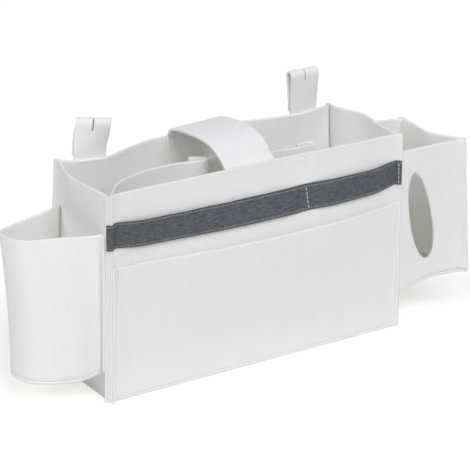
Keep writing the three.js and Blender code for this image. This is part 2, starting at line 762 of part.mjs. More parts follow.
// A stitch row across a band's tail, on its inner face.
function tailStitch(y, height, width, place) {
  const row = new THREE.BoxGeometry(width - 2 * STITCH_INSET, THREAD_THICKNESS, THREAD_WIDTH);
  return row.translate(place, y, height);
}

// The handle is sewn in a little askew: its back tail lies further left than its front tail.
function skewed(geometry) {
  const position = geometry.attributes.position;
  for (let i = 0; i < position.count; i += 1) {
    const share = (position.getY(i) - handleFront) / (handleBack - handleFront);
    position.setX(i, position.getX(i) - HANDLE_SKEW * clamp(share, 0, 1));
  }
  return geometry;
}

function makeHandle() {
  addPiece("carry_handle", skewed(bentBand(handleProfile(), HANDLE_WIDTH, 0)), felt);
  const lift = FELT / 2 + FIT_GAP + THREAD_THICKNESS / 2;
  const backHeight = BOX_HEIGHT - HANDLE_STITCH_DROP;
  const backRow = tailStitch(handleBack - lift, backHeight, HANDLE_WIDTH, -HANDLE_SKEW);
  const frontHeight = BOX_HEIGHT - HANDLE_FRONT_DROP - HANDLE_FRONT_STITCH_DROP;
  const frontRow = tailStitch(handleFront + lift, frontHeight, HANDLE_WIDTH, 0);
  addPiece("handle_stitch_back", backRow, thread);
  addPiece("handle_stitch_front", frontRow, thread);
}

// Hanging loops: a tail sewn behind the back wall, a crease above the rim and a folded loop with a slit
const loopRow = backLine[1].y + LAYER - BACK_RIM_PUSH;

// Seen from the side: up the front ply, over the fold and down the back ply, which ends on the front ply.
function loopProfile(rise) {
  const bottom = CREASE_HEIGHT + CREASE_HALF;
  const radius = (LOOP_TUNNEL + FELT) / 2;
  const foldHeight = BOX_HEIGHT + rise - radius - FELT / 2;
  const frontPly = spread([bottom, foldHeight], LEVEL_STEP / 3).map((z) => point(loopRow, z));
  const fold = [];
  for (let k = 1; k <= 2 * ARC_STEPS; k += 1) {
    const angle = Math.PI * (1 - k / (2 * ARC_STEPS));
    fold.push(point(loopRow + radius + radius * Math.cos(angle), foldHeight + radius * Math.sin(angle)));
  }
  const endHeight = bottom + LOOP_END_RISE;
  const join = point(loopRow + LAYER, endHeight + LOOP_TUNNEL);
  const belly = point(loopRow + 2 * radius, endHeight + 2 * LOOP_TUNNEL);
  return [...frontPly, ...fold, belly, join, point(loopRow + LAYER, endHeight)];
}

// The slit runs from the top of the fold down the front ply.
function slitTool(place, rise) {
  const reach = LOOP_TUNNEL / 2 + 2 * FELT;
  const tool = new THREE.BoxGeometry(LOOP_SLIT, reach, 2 * LOOP_SLIT_DEPTH);
  return tool.translate(place, loopRow + LOOP_TUNNEL / 2 - reach / 2 + FELT / 2, BOX_HEIGHT + rise);
}

function makeHangingLoop(side, place, rise) {
  const places = backLine.map((corner) => corner.x);
  const ends = [place + LOOP_WIDTH / 2, place - LOOP_WIDTH / 2];
  const [from, to] = ends.map((x) => places.findIndex((value) => Math.abs(value - x) < FIT_GAP / 10));
  const tailLevels = wallLevels.filter((z) => z >= loopTailBottom);
  const tail = standingLayer(back, { levels: tailLevels, offset: () => LAYER, from, to });
  addPiece(`${side}_loop_tail`, tail, felt);
  const creaseLow = BOX_HEIGHT + FIT_GAP;
  const creaseHigh = CREASE_HEIGHT + CREASE_HALF - FIT_GAP;
  const crease = [point(loopRow, creaseLow), point(loopRow, creaseHigh)];
  addPiece(`${side}_loop_crease`, bentBand(crease, LOOP_WIDTH, place), felt);
  const band = bentBand(loopProfile(rise), LOOP_WIDTH, place);
  addPiece(`${side}_hanging_loop`, cutAway(band, slitTool(place, rise)), felt);
  const stitchHeight = BOX_HEIGHT - LOOP_STITCH_DROP;
  const lift = LAYER + FELT / 2 + FIT_GAP + THREAD_THICKNESS / 2;
  const stitch = standingLayer(back, {
    levels: [stitchHeight, stitchHeight + THREAD_WIDTH],
    offset: () => lift + FIT_GAP,
    thickness: THREAD_THICKNESS,
    from,
    to,
  });
  addPiece(`${side}_loop_stitch`, stitch, thread);
}

makeBox();
makeFrontPocket();
makeTape();
makeTapeTacks();
makeCornerThreads();
makeDividers();
makeBottlePocket();
makeTissuePocket();
makeHandle();
makeHangingLoop("left", LEFT_LOOP_PLACE, LEFT_LOOP_RISE);
makeHangingLoop("right", RIGHT_LOOP_PLACE, RIGHT_LOOP_RISE);

export default caddy;
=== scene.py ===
# %% [markdown]
# # A bedside caddy sewn from thick felt
# The caddy is an open box of white needle felt, three millimetres thick. Its corner seams stand outwards as
# ridges. A woven tape across the front makes two pen loops, a rounded pocket hangs on the left end and a
# boxy tissue pocket on the right end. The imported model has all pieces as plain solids. This lesson rebuilds
# each soft piece as a real thick sheet in the same place, so that bends, cut edges and stitches show. Most
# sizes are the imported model's own, and some soft forms follow the real object more closely.

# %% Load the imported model
import math
from collections import namedtuple

import bmesh
import bpy
import numpy as np
from mathutils import Matrix, Vector, noise


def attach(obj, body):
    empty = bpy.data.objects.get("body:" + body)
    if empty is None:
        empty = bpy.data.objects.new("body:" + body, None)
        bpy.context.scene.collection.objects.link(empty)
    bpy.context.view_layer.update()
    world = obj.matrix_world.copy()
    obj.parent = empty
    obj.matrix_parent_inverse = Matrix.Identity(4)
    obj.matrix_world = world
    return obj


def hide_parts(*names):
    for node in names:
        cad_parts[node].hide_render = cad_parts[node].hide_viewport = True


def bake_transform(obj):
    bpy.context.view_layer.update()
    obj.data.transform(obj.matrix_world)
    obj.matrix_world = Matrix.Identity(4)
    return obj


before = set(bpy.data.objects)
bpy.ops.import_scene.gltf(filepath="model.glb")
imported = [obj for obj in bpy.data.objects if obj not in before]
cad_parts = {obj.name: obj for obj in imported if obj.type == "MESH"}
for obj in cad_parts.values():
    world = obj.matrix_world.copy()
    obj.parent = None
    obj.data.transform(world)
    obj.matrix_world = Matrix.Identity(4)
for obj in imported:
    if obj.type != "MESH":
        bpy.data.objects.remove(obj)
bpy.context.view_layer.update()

# %% [markdown]
# ## Camera
# The picture looks down at the front from the left. The camera could be placed by eye, but the corners of
# the box fix it well, so its place, turn and lens were worked out from them and are written here as
# numbers.


# %% Camera
def add_object(name, data):
    """A new object in the scene."""
    added = bpy.data.objects.new(name, data)
    bpy.context.scene.collection.objects.link(added)
    return added


CAMERA_PLACE = Vector((-1.0491, -1.6167, 0.8914))
CAMERA_TURN = math.radians(-33.19)
CAMERA_DIP = math.radians(21.98)
CAMERA_ROLL = math.radians(0.59)
LENS, SENSOR = 163.8, 36

forward = Vector((
    -math.sin(CAMERA_TURN) * math.cos(CAMERA_DIP),
    math.cos(CAMERA_TURN) * math.cos(CAMERA_DIP),
    -math.sin(CAMERA_DIP),
))
across = Vector((math.cos(CAMERA_TURN), math.sin(CAMERA_TURN), 0))
upward = across.cross(forward)
right_hand = across * math.cos(CAMERA_ROLL) + upward * math.sin(CAMERA_ROLL)
head = upward * math.cos(CAMERA_ROLL) - across * math.sin(CAMERA_ROLL)

lens = bpy.data.cameras.new("camera")
lens.lens = LENS
lens.sensor_width = SENSOR
camera = add_object("camera", lens)
camera.matrix_world = Matrix((
    (right_hand.x, head.x, -forward.x, CAMERA_PLACE.x),
    (right_hand.y, head.y, -forward.y, CAMERA_PLACE.y),
    (right_hand.z, head.z, -forward.z, CAMERA_PLACE.z),
    (0, 0, 0, 1),
))
bpy.context.scene.camera = camera
bpy.context.scene.view_settings.view_transform = "Standard"
print("camera stands", round(CAMERA_PLACE.length, 2), "m from the base")

# %% [markdown]
# ## Sums with shader sockets
# A finish needs a little arithmetic, such as one minus a mask. Adding and linking Math nodes by hand hides
# the sum, so a small class lets Python's own operators add them. Every other node comes from one method
# that takes the node's type, its settings and its inputs.


# %% Shader helpers
class Wire:
    """A shader socket that takes part in sums: each operator adds one Math node."""

    def __init__(self, finish, socket):
        self.finish = finish
        self.socket = socket

    def beside(self, output):
        """Another output of the same node."""
        return Wire(self.finish, self.socket.node.outputs[output])

    def sum(self, operation, first, second):
        return self.finish.node("ShaderNodeMath", {"operation": operation}, {0: first, 1: second})

    def __add__(self, other):
        return self.sum("ADD", self, other)

    def __radd__(self, other):
        return self.sum("ADD", other, self)

    def __sub__(self, other):
        return self.sum("SUBTRACT", self, other)

    def __rsub__(self, other):
        return self.sum("SUBTRACT", other, self)

    def __mul__(self, other):
        return self.sum("MULTIPLY", self, other)

    def __rmul__(self, other):
        return self.sum("MULTIPLY", other, self)

    def __gt__(self, other):
        return self.sum("GREATER_THAN", self, other)

    def __mod__(self, other):
        return self.sum("FLOORED_MODULO", self, other)


class Finish:
    """The node tree of one material, or of the sky."""

    def __init__(self, owner, shader="Principled BSDF"):
        owner.use_nodes = True
        self.owner = owner
        self.tree = owner.node_tree
        self.shader = self.tree.nodes[shader]

    def node(self, kind, settings, inputs, output=0):
        made = self.tree.nodes.new(kind)
        for key, value in settings.items():
            setattr(made, key, value)
        self.feed(made, inputs)
        return Wire(self, made.outputs[output])

    def feed(self, node, inputs):
        for key, value in inputs.items():
            if isinstance(value, Wire):
                self.tree.links.new(value.socket, node.inputs[key])
            else:
                node.inputs[key].default_value = value

    def mix(self, factor, first, second):
        settings = {"data_type": "RGBA"}
        return self.node("ShaderNodeMix", settings, {"Factor": factor, 6: first, 7: second}, 2)


def tone(red, green, blue):
    """A colour written in screen values from 0 to 255, as the linear values that shaders use."""
    shares = [value / 255 for value in (red, green, blue)]
    return [s / 12.92 if s < 0.04045 else ((s + 0.055) / 1.055) ** 2.4 for s in shares] + [1]


print("half of white on the screen is", round(tone(128, 128, 128)[0], 2), "of its light")

# %% [markdown]
# ## Floor and light
# The object stands on a white sheet in soft light. The floor is a plain white surface that takes shadows.
# More lamps would bring it up to white, but they would bleach the felt too, so the floor glows a little where
# the camera sees it, straight or in gloss or glass. Two far and wide lamps, one from the front and one from
# the left, give soft shadows, and a weak sky fills them. The inside of a white box is lit by its own walls,
# so light may bounce many times.

# %% Floor
FLOOR_SIZE, FLOOR_DROP, FLOOR_GLOW = 6.0, 0.0003, 0.42


def seen_directly(finish):
    """Above 0 for what the camera sees, also in gloss or glass, and 0 for all other light."""
    camera_ray = finish.node("ShaderNodeLightPath", {}, {}, "Is Camera Ray")
    return camera_ray + camera_ray.beside("Is Glossy Ray") + camera_ray.beside("Is Transmission Ray")


backdrop = Finish(bpy.data.materials.new("backdrop"))
backdrop.feed(backdrop.shader, {
    "Base Color": tone(238, 237, 232),
    "Roughness": 1.0,
    "Specular IOR Level": 0.0,
})
surface = Wire(backdrop, backdrop.shader.outputs[0])
glow = backdrop.node("ShaderNodeEmission", {}, {"Strength": FLOOR_GLOW})
lit = backdrop.node("ShaderNodeAddShader", {}, {0: surface, 1: glow})
shown = backdrop.node("ShaderNodeMixShader", {}, {0: seen_directly(backdrop), 1: surface, 2: lit})
backdrop.feed(backdrop.tree.nodes["Material Output"], {"Surface": shown})

half = FLOOR_SIZE / 2
floor_mesh = bpy.data.meshes.new("floor")
floor_corners = [(-half, -half, 0), (half, -half, 0), (half, half, 0), (-half, half, 0)]
floor_mesh.from_pydata(floor_corners, [], [(0, 1, 2, 3)])
floor_mesh.materials.append(backdrop.owner)
floor = add_object("floor", floor_mesh)
floor.location.z = -FLOOR_DROP
print("floor", FLOOR_SIZE, "m wide")

# %% Light
SKY_LIGHT, SKY_COLOUR = 0.21, (0.95, 0.97, 1, 1)
KEY_LIGHT, KEY_AZIMUTH, KEY_HEIGHT = 1.65, 0.0, math.radians(46)
FILL_LIGHT, FILL_AZIMUTH, FILL_HEIGHT = 1.15, math.radians(90), math.radians(40)
LAMP_SPREAD, LAMP_COLOUR = math.radians(45), (0.935, 0.94, 1)
DIFFUSE_BOUNCES = 12

sky = Finish(bpy.data.worlds.new("studio"), "Background")
sky_range = {"Value": seen_directly(sky), "To Min": SKY_LIGHT, "To Max": 1.0}
sky.feed(sky.shader, {"Color": SKY_COLOUR, "Strength": sky.node("ShaderNodeMapRange", {}, sky_range)})
bpy.context.scene.world = sky.owner


def lamp(name, strength, azimuth, height):
    """A far wide lamp. azimuth is measured from the front towards the left, height from the floor."""
    light = bpy.data.lights.new(name, "SUN")
    light.energy = strength
    light.color = LAMP_COLOUR
    light.angle = LAMP_SPREAD
    level = math.cos(height)
    shine = Vector((math.sin(azimuth) * level, math.cos(azimuth) * level, -math.sin(height)))
    add_object(name, light).rotation_euler = shine.to_track_quat("-Z", "Y").to_euler()


lamp("key", KEY_LIGHT, KEY_AZIMUTH, KEY_HEIGHT)
lamp("fill", FILL_LIGHT, FILL_AZIMUTH, FILL_HEIGHT)
bpy.context.scene.cycles.diffuse_bounces = DIFFUSE_BOUNCES
print("lamps", KEY_LIGHT, "and", FILL_LIGHT, "with sky light", SKY_LIGHT)

# %% [markdown]
# ## Felt
# Needle felt is a mat of short fibres with no weave. Close to, it is cloudy at the size of a fingertip and
# hairy at a tenth of a millimetre. A picture of felt could be wrapped round it, but noise has no seams and
# no size of its own. Four noises do this: a soft cloud, upright streaks and swirled fibres for colour and
# bump, and fine hairs for the bump alone. A little sheen stands for the fibre ends. The cut edge is painted
# a shade brighter, a painted highlight for the light that top edges catch, and it has a stronger grain.


# %% Felt finish
def felt_finish(name, light, shade, grain):
    finish = Finish(bpy.data.materials.new(name))
    place = finish.node("ShaderNodeTexCoord", {}, {}, "Object")
    cloud = finish.node("ShaderNodeTexNoise", {}, {"Vector": place, "Scale": 38, "Detail": 3}, "Fac")
    fibres = finish.node("ShaderNodeTexNoise", {}, {
        "Vector": place, "Scale": 620, "Detail": 4, "Roughness": 0.65, "Distortion": 2.2,
    }, "Fac")
    hairs = finish.node("ShaderNodeTexNoise", {}, {
        "Vector": place, "Scale": 1900, "Detail": 2, "Distortion": 1.4,
    }, "Fac")
    drawn = finish.node("ShaderNodeMapping", {}, {"Vector": place, "Scale": (1, 1, 0.08)})
    streaks = finish.node("ShaderNodeTexNoise", {}, {"Vector": drawn, "Scale": 260, "Detail": 2}, "Fac")
    finish.feed(finish.shader, {
        "Base Color": finish.mix(cloud * 0.3 + streaks * 0.6 + fibres * 0.4 - 0.15, shade, light),
        "Roughness": 0.95,
        "Specular IOR Level": 0.15,
        "Sheen Weight": 0.12,
        "Sheen Roughness": 0.6,
    })
    height = cloud * 0.6 + streaks * 0.3 + fibres * 0.8 + hairs * 0.35
    bump = finish.node("ShaderNodeBump", {}, {"Height": height, "Strength": grain, "Distance": 0.0006})
    finish.feed(finish.shader, {"Normal": bump})
    return finish.owner


felt_face = felt_finish("felt_face", tone(254, 254, 251), tone(243, 243, 239), 0.55)
# The cut edge's lighter shade tone is a painted highlight for light caught by top edges; its stronger grain
# is the felt's own.
felt_edge_painted_highlight = felt_finish("felt_cut_edge_painted_highlight", tone(254, 254, 251), tone(246, 246, 243), 0.9)
print("felt finishes:", felt_face.name, felt_edge_painted_highlight.name)

# %% [markdown]
# ## Woven tape and thread
# The tape is slate grey webbing. Its yarns run along it in narrow ribs, and the weft comes round at both
# long edges and leaves a row of small bumps there, beside a line of light dashes. Two noises make the yarn
# uneven. Ribs, bumps and dashes follow the tape, so they are drawn in the tape's own length and width,
# which its UV map holds in metres. Thread has a fine twist. It is white, and dark for the row at the tape's
# left end.

# %% Tape and thread finishes
TAPE_RIB = 0.0013
TAPE_PICK = 0.0016
TAPE_EDGE = 0.0022
TAPE_BREADTH = 0.025
EDGE_STITCH_PLACE, EDGE_STITCH_WIDTH = 0.0017, 0.0006
EDGE_STITCH_STEP, EDGE_STITCH_LENGTH = 0.0026, 0.0013

webbing = Finish(bpy.data.materials.new("woven_tape"))
cut = webbing.node("ShaderNodeUVMap", {"uv_map": "cut"}, {})
along = webbing.node("ShaderNodeSeparateXYZ", {}, {0: cut}, "X")
width = along.beside("Y")


def wave(value, step):
    """A smooth up and down with the given step, from 0 to 1."""
    turns = value * (2 * math.pi / step)
    return turns.finish.node("ShaderNodeMath", {"operation": "SINE"}, {0: turns}) * 0.5 + 0.5


rib = (width - width % TAPE_RIB) * (1 / TAPE_RIB)
ribs = wave(width, TAPE_RIB)
picks = wave(along + rib * (TAPE_PICK / 2), TAPE_PICK)
margin = (width > TAPE_BREADTH - TAPE_EDGE) + (TAPE_EDGE - width > 0)
weave = ribs * 0.45 + picks * 0.55
edge_bumps = wave(along, TAPE_PICK * 1.25)
pattern = weave * (1 - margin) + edge_bumps * margin
low_line = (width > EDGE_STITCH_PLACE) * (EDGE_STITCH_PLACE + EDGE_STITCH_WIDTH - width > 0)
from_top = TAPE_BREADTH - width
top_line = (from_top > EDGE_STITCH_PLACE) * (EDGE_STITCH_PLACE + EDGE_STITCH_WIDTH - from_top > 0)
dashes = (low_line + top_line) * (EDGE_STITCH_LENGTH - along % EDGE_STITCH_STEP > 0)
drawn = webbing.node("ShaderNodeMapping", {}, {"Vector": cut, "Scale": (0.12, 1, 1)})
ends = webbing.node("ShaderNodeTexNoise", {}, {"Vector": drawn, "Scale": 1100, "Detail": 2}, "Fac")
place = webbing.node("ShaderNodeTexCoord", {}, {}, "Object")
fuzz = webbing.node("ShaderNodeTexNoise", {}, {"Vector": place, "Scale": 900, "Detail": 3}, "Fac")
yarn = webbing.mix(pattern * 0.15 + fuzz * 0.9 + ends * 1.0 - 0.55, tone(30, 33, 37), tone(126, 130, 135))
webbing.feed(webbing.shader, {
    "Base Color": webbing.mix(dashes, yarn, tone(186, 189, 193)),
    "Roughness": 0.82,
    "Specular IOR Level": 0.3,
    "Normal": webbing.node("ShaderNodeBump", {}, {
        "Height": pattern + fuzz * 0.2 + dashes, "Strength": 0.6, "Distance": 0.0004,
    }),
})


def thread_finish(name, shade, light):
    finish = Finish(bpy.data.materials.new(name))
    place = finish.node("ShaderNodeTexCoord", {}, {}, "Object")
    twist = finish.node("ShaderNodeTexNoise", {}, {"Vector": place, "Scale": 2400, "Detail": 2}, "Fac")
    finish.feed(finish.shader, {
        "Base Color": finish.mix(twist, shade, light),
        "Roughness": 0.7,
        "Normal": finish.node("ShaderNodeBump", {}, {"Height": twist, "Strength": 0.4, "Distance": 0.0002}),
    })
    return finish.owner


sewing = thread_finish("white_thread", tone(226, 226, 224), tone(246, 246, 244))
dark_sewing = thread_finish("dark_thread", tone(18, 20, 23), tone(48, 51, 55))
print("tape and thread finishes:", webbing.owner.name, sewing.name, dark_sewing.name)

# %% [markdown]
# ## Sizes
# These are the part's own sizes, in millimetres, because a maker of such a thing thinks in millimetres.
# They are turned into metres once, when a mesh is made. X runs along the front to the right, Y to the back
# and Z up.

# %% Sizes in millimetres
BOX_LENGTH, BOX_DEPTH, BOX_HEIGHT = 330, 116, 205
FELT, FIT_GAP = 3.0, 0.3
LAYER = FLOOR = FELT + FIT_GAP
SEAM_ALLOWANCE = 6
BASE_FLARE = 3.5
POCKET_HEIGHT, POCKET_SLACK = 134, 2.5
TAPE_LOW, TAPE_TOP, TAPE_THICKNESS, TAPE_WRAP = 153, 178, 1.2, 6
TACKS = (-160, 48.5, 160)
THREAD = 0.35
MILLIMETRE = 0.001
print("box", BOX_LENGTH, "by", BOX_DEPTH, "by", BOX_HEIGHT, "mm")

# %% [markdown]
# ## Plan lines
# Every standing piece of the caddy is a strip of felt bent along a line on the table. A sharp line would
# give folded paper, and felt can't fold that sharply, so each line is walked in half millimetre steps and
# averaged with its neighbours. The outside of the caddy is on the right of every line.

# %% Plan line helpers
LINE_STEP = 0.5


def unit(vectors):
    return vectors / np.linalg.norm(vectors, axis=-1, keepdims=True)


def right_of(vectors):
    return np.stack([vectors[..., 1], -vectors[..., 0]], -1)


def line_length(corners):
    return float(np.linalg.norm(np.diff(corners, axis=0), axis=1).sum())


def walked(points):
    """The way walked along points, from 0 at the first one."""
    return np.concatenate([[0], np.cumsum(np.linalg.norm(np.diff(points, axis=0), axis=1))])


def read(at, places, table):
    """Rows of a table that is known at places, read at other places."""
    return np.stack([np.interp(at, places, column) for column in table.T], 1)


def ramp(value, start, end):
    share = np.clip((value - start) / (end - start), 0, 1)
    return share * share * (3 - 2 * share)


def hump(value, start, peak, end):
    return np.where(value < peak, ramp(value, start, peak), 1 - ramp(value, peak, end))


def soft_line(corners, shares, bend):
    """Points of a plan line with rounded corners, and their right-hand sides, at shares of its length."""
    reach = walked(corners)
    fine = np.linspace(0, reach[-1], int(reach[-1] / LINE_STEP) + 1)
    line = read(fine, reach, corners)
    width = int(3 * bend / LINE_STEP)
    weights = np.exp(-0.5 * (np.arange(-width, width + 1) * LINE_STEP / bend) ** 2)
    before = 2 * line[0] - line[width:0:-1]
    after = 2 * line[-1] - line[-2:-width - 2:-1]
    padded = np.concatenate([before, line, after])
    soft = np.stack([np.convolve(column, weights / weights.sum(), "valid") for column in padded.T], 1)
    sides = right_of(unit(np.gradient(soft, axis=0)))
    at = np.asarray(shares) * fine[-1]
    return read(at, fine, soft), unit(read(at, fine, sides))


def spline(points, steps):
    """A smooth curve through points, in equal steps of its parameter."""
    padded = np.vstack([points[:1], points, points[-1:]])
    curve = []
    for t in np.linspace(0, len(points) - 1, steps + 1):
        k = min(int(t), len(points) - 2)
        w = t - k
        a, b, c, d = padded[k:k + 4]
        start, end = (c - a) / 2, (d - b) / 2
        cubic, square = 2 * b - 2 * c + start + end, 3 * c - 3 * b - 2 * start - end
        curve.append(cubic * w**3 + square * w**2 + start * w + b)
    return np.array(curve)


def smooth_curve(places, values):
    """A function that reads a smooth curve through values at places."""
    curve = spline(np.column_stack([places, values]).astype(float), 160)
    return lambda at: np.interp(at, curve[:, 0], curve[:, 1])


def stops(length, coarse=5.0, fine=1.2, zone=14.0, lip=0.5):
    """Places from 0 to length: close together at both ends, where seams bend, and wider between."""
    near = np.concatenate([[0, lip], np.arange(lip + fine, zone, fine)])
    count = max(2, int((length - 2 * zone) / coarse))
    middle = np.linspace(zone, length - zone, count)
    return np.concatenate([near, middle, length - near[::-1]])


def levels(low, high):
    return low + stops(high - low, zone=3.0, fine=1.2)


print("plan lines are walked in steps of", LINE_STEP, "mm")

# %% [markdown]
# ## Corner seams
# At each corner the edges of two to five layers lie together, point outwards and are sewn through. Felt is
# soft, so the seam squeezes the layers. A squeeze of each panel alone would open gaps, so one function
# squeezes all points near a ridge, after the sheets have got their thickness. Another leans the two back
# ridges inwards.

# %% Corner seams
Seam = namedtuple("Seam", "tip out root")
FRONT_TURN, BACK_TURN = math.radians(45), math.radians(20)


def seam(tip, out, allowance):
    tip, out = np.array(tip, float), np.array(out, float)
    return Seam(tip, out, tip - out * allowance)


def box_seam(side_x, side_y, turn):
    tip = (side_x * BOX_LENGTH / 2, side_y * BOX_DEPTH / 2)
    return seam(tip, (side_x * math.sin(turn), side_y * math.cos(turn)), SEAM_ALLOWANCE)


def crossing(a, a_way, b, b_way):
    gap = b - a
    share = (gap[0] * b_way[1] - gap[1] * b_way[0]) / (a_way[0] * b_way[1] - a_way[1] * b_way[0])
    return a + a_way * share


def panel_corners(start, end, start_layer, end_layer):
    along = unit(end.root - start.root)
    start_side = right_of(-start.out) * start_layer * LAYER
    end_side = right_of(end.out) * end_layer * LAYER
    start_turn = crossing(start.root + start_side, start.out, start.root, along)
    end_turn = crossing(end.root + end_side, end.out, start.root, along)
    return np.array([start.tip + start_side, start_turn, end_turn, end.tip + end_side])


front_left, front_right = box_seam(-1, -1, FRONT_TURN), box_seam(1, -1, FRONT_TURN)
back_right, back_left = box_seam(1, 1, BACK_TURN), box_seam(-1, 1, BACK_TURN)
front_corners = panel_corners(front_left, front_right, 1, 0.5)
right_corners = panel_corners(front_right, back_right, 0.5, 0.5)
back_corners = panel_corners(back_right, back_left, 0.5, 0.5)
left_corners = panel_corners(back_left, front_left, 0.5, 1)
front_start, front_end = front_corners[1, 0], front_corners[2, 0]
print("front wall is cut", round(line_length(front_corners)), "mm long")

# %% Pinched ridges
PINCH, PINCH_REACH, PINCH_HALF, PINCH_SIDE = 0.3, (4, 10), 8, (14, 40)
CORNER_LEAN, LEAN_LENGTH, LEAN_DEPTH = 8, (140, 160), (5, 52)


def flare(z):
    """How much longer the box is at a height than at its rim."""
    return 1 + BASE_FLARE / (BOX_LENGTH / 2) * (1 - z / BOX_HEIGHT)


def pinch(points):
    """Presses the layers of each corner ridge together."""
    pressed = points.copy()
    plan = np.column_stack([points[:, 0] / flare(points[:, 2]), points[:, 1]])
    for ridge in (front_left, front_right, back_right, back_left):
        sideways = right_of(ridge.out)
        depth = (ridge.tip - plan) @ ridge.out
        side = (plan - ridge.tip) @ sideways
        share = PINCH * (1 - ramp(depth, *PINCH_REACH)) * (1 - ramp(np.abs(side), *PINCH_SIDE))
        pressed[:, :2] -= np.outer(share * np.clip(side, -PINCH_HALF, PINCH_HALF), sideways)
    return pressed


def draw_in(points):
    """Leans the two back ridges inwards, most at the rim, as the swollen ends draw them."""
    drawn = points.copy()
    near = ramp(np.abs(points[:, 0]), *LEAN_LENGTH) * ramp(points[:, 1], *LEAN_DEPTH)
    share = near * points[:, 2] / BOX_HEIGHT
    drawn[:, 0] -= np.sign(points[:, 0]) * CORNER_LEAN * share
    return drawn


print("ridges are pressed to", 1 - PINCH, "of their thickness")

# %% [markdown]
# ## A thick sheet
# Blender's Solidify modifier could thicken a sheet, but the lip of a cut edge should be rounded and have
# its own finish. So the sheet is thickened here: two skins, half a thickness off the middle, a little
# closer together at the rim, and a strip of faces round the rim. The UV map holds the flat cut in metres.

# %% Thick sheets
LIP_ROUND = 0.45
Cut = namedtuple("Cut", "width length area")
cuts = {}


def outline_area(outline):
    x, y = outline.T
    return abs(float(x @ np.roll(y, -1) - y @ np.roll(x, -1))) / 2


def middle_normals(points, quads):
    normals = np.zeros_like(points)
    a, b, c, d = (points[quads[:, k]] for k in range(4))
    faces = np.cross(c - a, d - b)
    for k in range(4):
        np.add.at(normals, quads[:, k], faces)
    return unit(normals)


def make_piece(name, vertices, faces, rim_faces, uv, materials):
    mesh = bpy.data.meshes.new(name)
    settled = draw_in(pinch(np.asarray(vertices)))
    mesh.from_pydata((settled * MILLIMETRE).tolist(), [], [*faces, *rim_faces])
    layer = mesh.uv_layers.new(name="cut")
    corner_vertex = np.zeros(len(mesh.loops), int)
    mesh.loops.foreach_get("vertex_index", corner_vertex)
    layer.data.foreach_set("uv", (uv[corner_vertex] * MILLIMETRE).ravel())
    for material in materials:
        mesh.materials.append(material)
    rim = np.zeros(len(mesh.polygons), int)
    rim[len(faces):] = len(materials) - 1
    mesh.polygons.foreach_set("material_index", rim)
    mesh.polygons.foreach_set("use_smooth", np.ones(len(mesh.polygons), bool))
    work = bmesh.new()
    work.from_mesh(mesh)
    bmesh.ops.recalc_face_normals(work, faces=work.faces)
    work.to_mesh(mesh)
    work.free()
    return add_object(name, mesh)


def sheet_piece(name, grid, uv, thickness=FELT, keep=None, ring=False, materials=(felt_face, felt_edge_painted_highlight)):
    """A thick sheet from rows of middle points.

    keep says which cells of the grid are made, and ring joins the last column to the first.
    """
    rows, columns = grid.shape[:2]
    points = grid.reshape(-1, 3)
    last = columns if ring else columns - 1
    row, column = np.meshgrid(np.arange(rows - 1), np.arange(last), indexing="ij")
    beyond = (column + 1) % columns
    quads = np.stack([
        row * columns + column, row * columns + beyond,
        (row + 1) * columns + beyond, (row + 1) * columns + column,
    ], -1)
    quads = quads[keep] if keep is not None else quads.reshape(-1, 4)
    edges = np.concatenate([quads[:, [k, (k + 1) % 4]] for k in range(4)])
    _, index, count = np.unique(np.sort(edges, 1), axis=0, return_index=True, return_counts=True)
    border = edges[index[count == 1]]
    half = np.full(len(points), thickness / 2)
    half[np.unique(border)] -= min(LIP_ROUND, thickness / 4)
    normals = middle_normals(points, quads)
    skins = [points + normals * half[:, None], points - normals * half[:, None]]
    used = np.unique(quads)
    new_index = np.full(len(points), -1)
    new_index[used] = np.arange(len(used))
    shift = len(used)
    upper = new_index[quads]
    under = upper[:, ::-1] + shift
    rim = new_index[border]
    rim_faces = np.stack([rim[:, 1], rim[:, 0], rim[:, 0] + shift, rim[:, 1] + shift], 1)
    vertices = np.concatenate([skin[used] for skin in skins])
    flat = uv.reshape(-1, 2)[used]
    a, b, c, d = (points[quads[:, k]] for k in range(4))
    area = float(np.linalg.norm(np.cross(c - a, d - b), axis=1).sum()) / 2
    width, length = np.ptp(flat, axis=0)
    cuts[name] = Cut(width, max(length, area / width), area)
    faces = np.concatenate([upper, under]).tolist()
    return make_piece(name, vertices, faces, rim_faces.tolist(), np.concatenate([flat, flat]), materials)


def flat_cut(grid):
    """Each grid point's place on the flat cut: the ways walked along its row and up its column."""
    along = np.linalg.norm(np.diff(grid, axis=1), axis=2)
    up = np.linalg.norm(np.diff(grid, axis=0), axis=2)
    u = np.concatenate([np.zeros((grid.shape[0], 1)), np.cumsum(along, 1)], 1)
    v = np.concatenate([np.zeros((1, grid.shape[1])), np.cumsum(up, 0)], 0)
    return np.stack([u, v], -1)


print("felt lips are rounded by", LIP_ROUND, "mm")

# %% [markdown]
# ## How the felt settles
# A sewn box never stands quite true. Each sheet could get dents of its own, but then layers that touch
# would cut into each other. So all pieces share one soft field of small shifts and move together. The
# field's noise has a seed, so that every run gives the same caddy. The box also spreads a little towards
# its base.

# %% Settling
WAVE_LENGTHS = ((85.0, 0.9), (30.0, 0.35))
STEADY_HEIGHTS = (4, 60)
NOISE_SEED = 11
noise.seed_set(NOISE_SEED)


def settle(points):
    flat = points.reshape(-1, 3).copy()
    flat[:, 0] *= flare(flat[:, 2])
    steady = ramp(flat[:, 2], *STEADY_HEIGHTS)
    for size, amount in WAVE_LENGTHS:
        shift = np.array([noise.noise_vector(Vector(p) / size) for p in flat])
        flat += shift * (amount * steady)[:, None]
    return flat.reshape(points.shape)


Cloth = namedtuple("Cloth", "corners bend offset push")


def no_offset(line, z):
    return np.zeros(len(line))


def shift(line, x=0.0, y=0.0, z=0.0):
    """One shift for each point of a line."""
    return np.column_stack([np.broadcast_to(value, len(line)) for value in (x, y, z)])


def at_height(plan, z):
    return np.column_stack([plan, np.full(len(plan), z)])


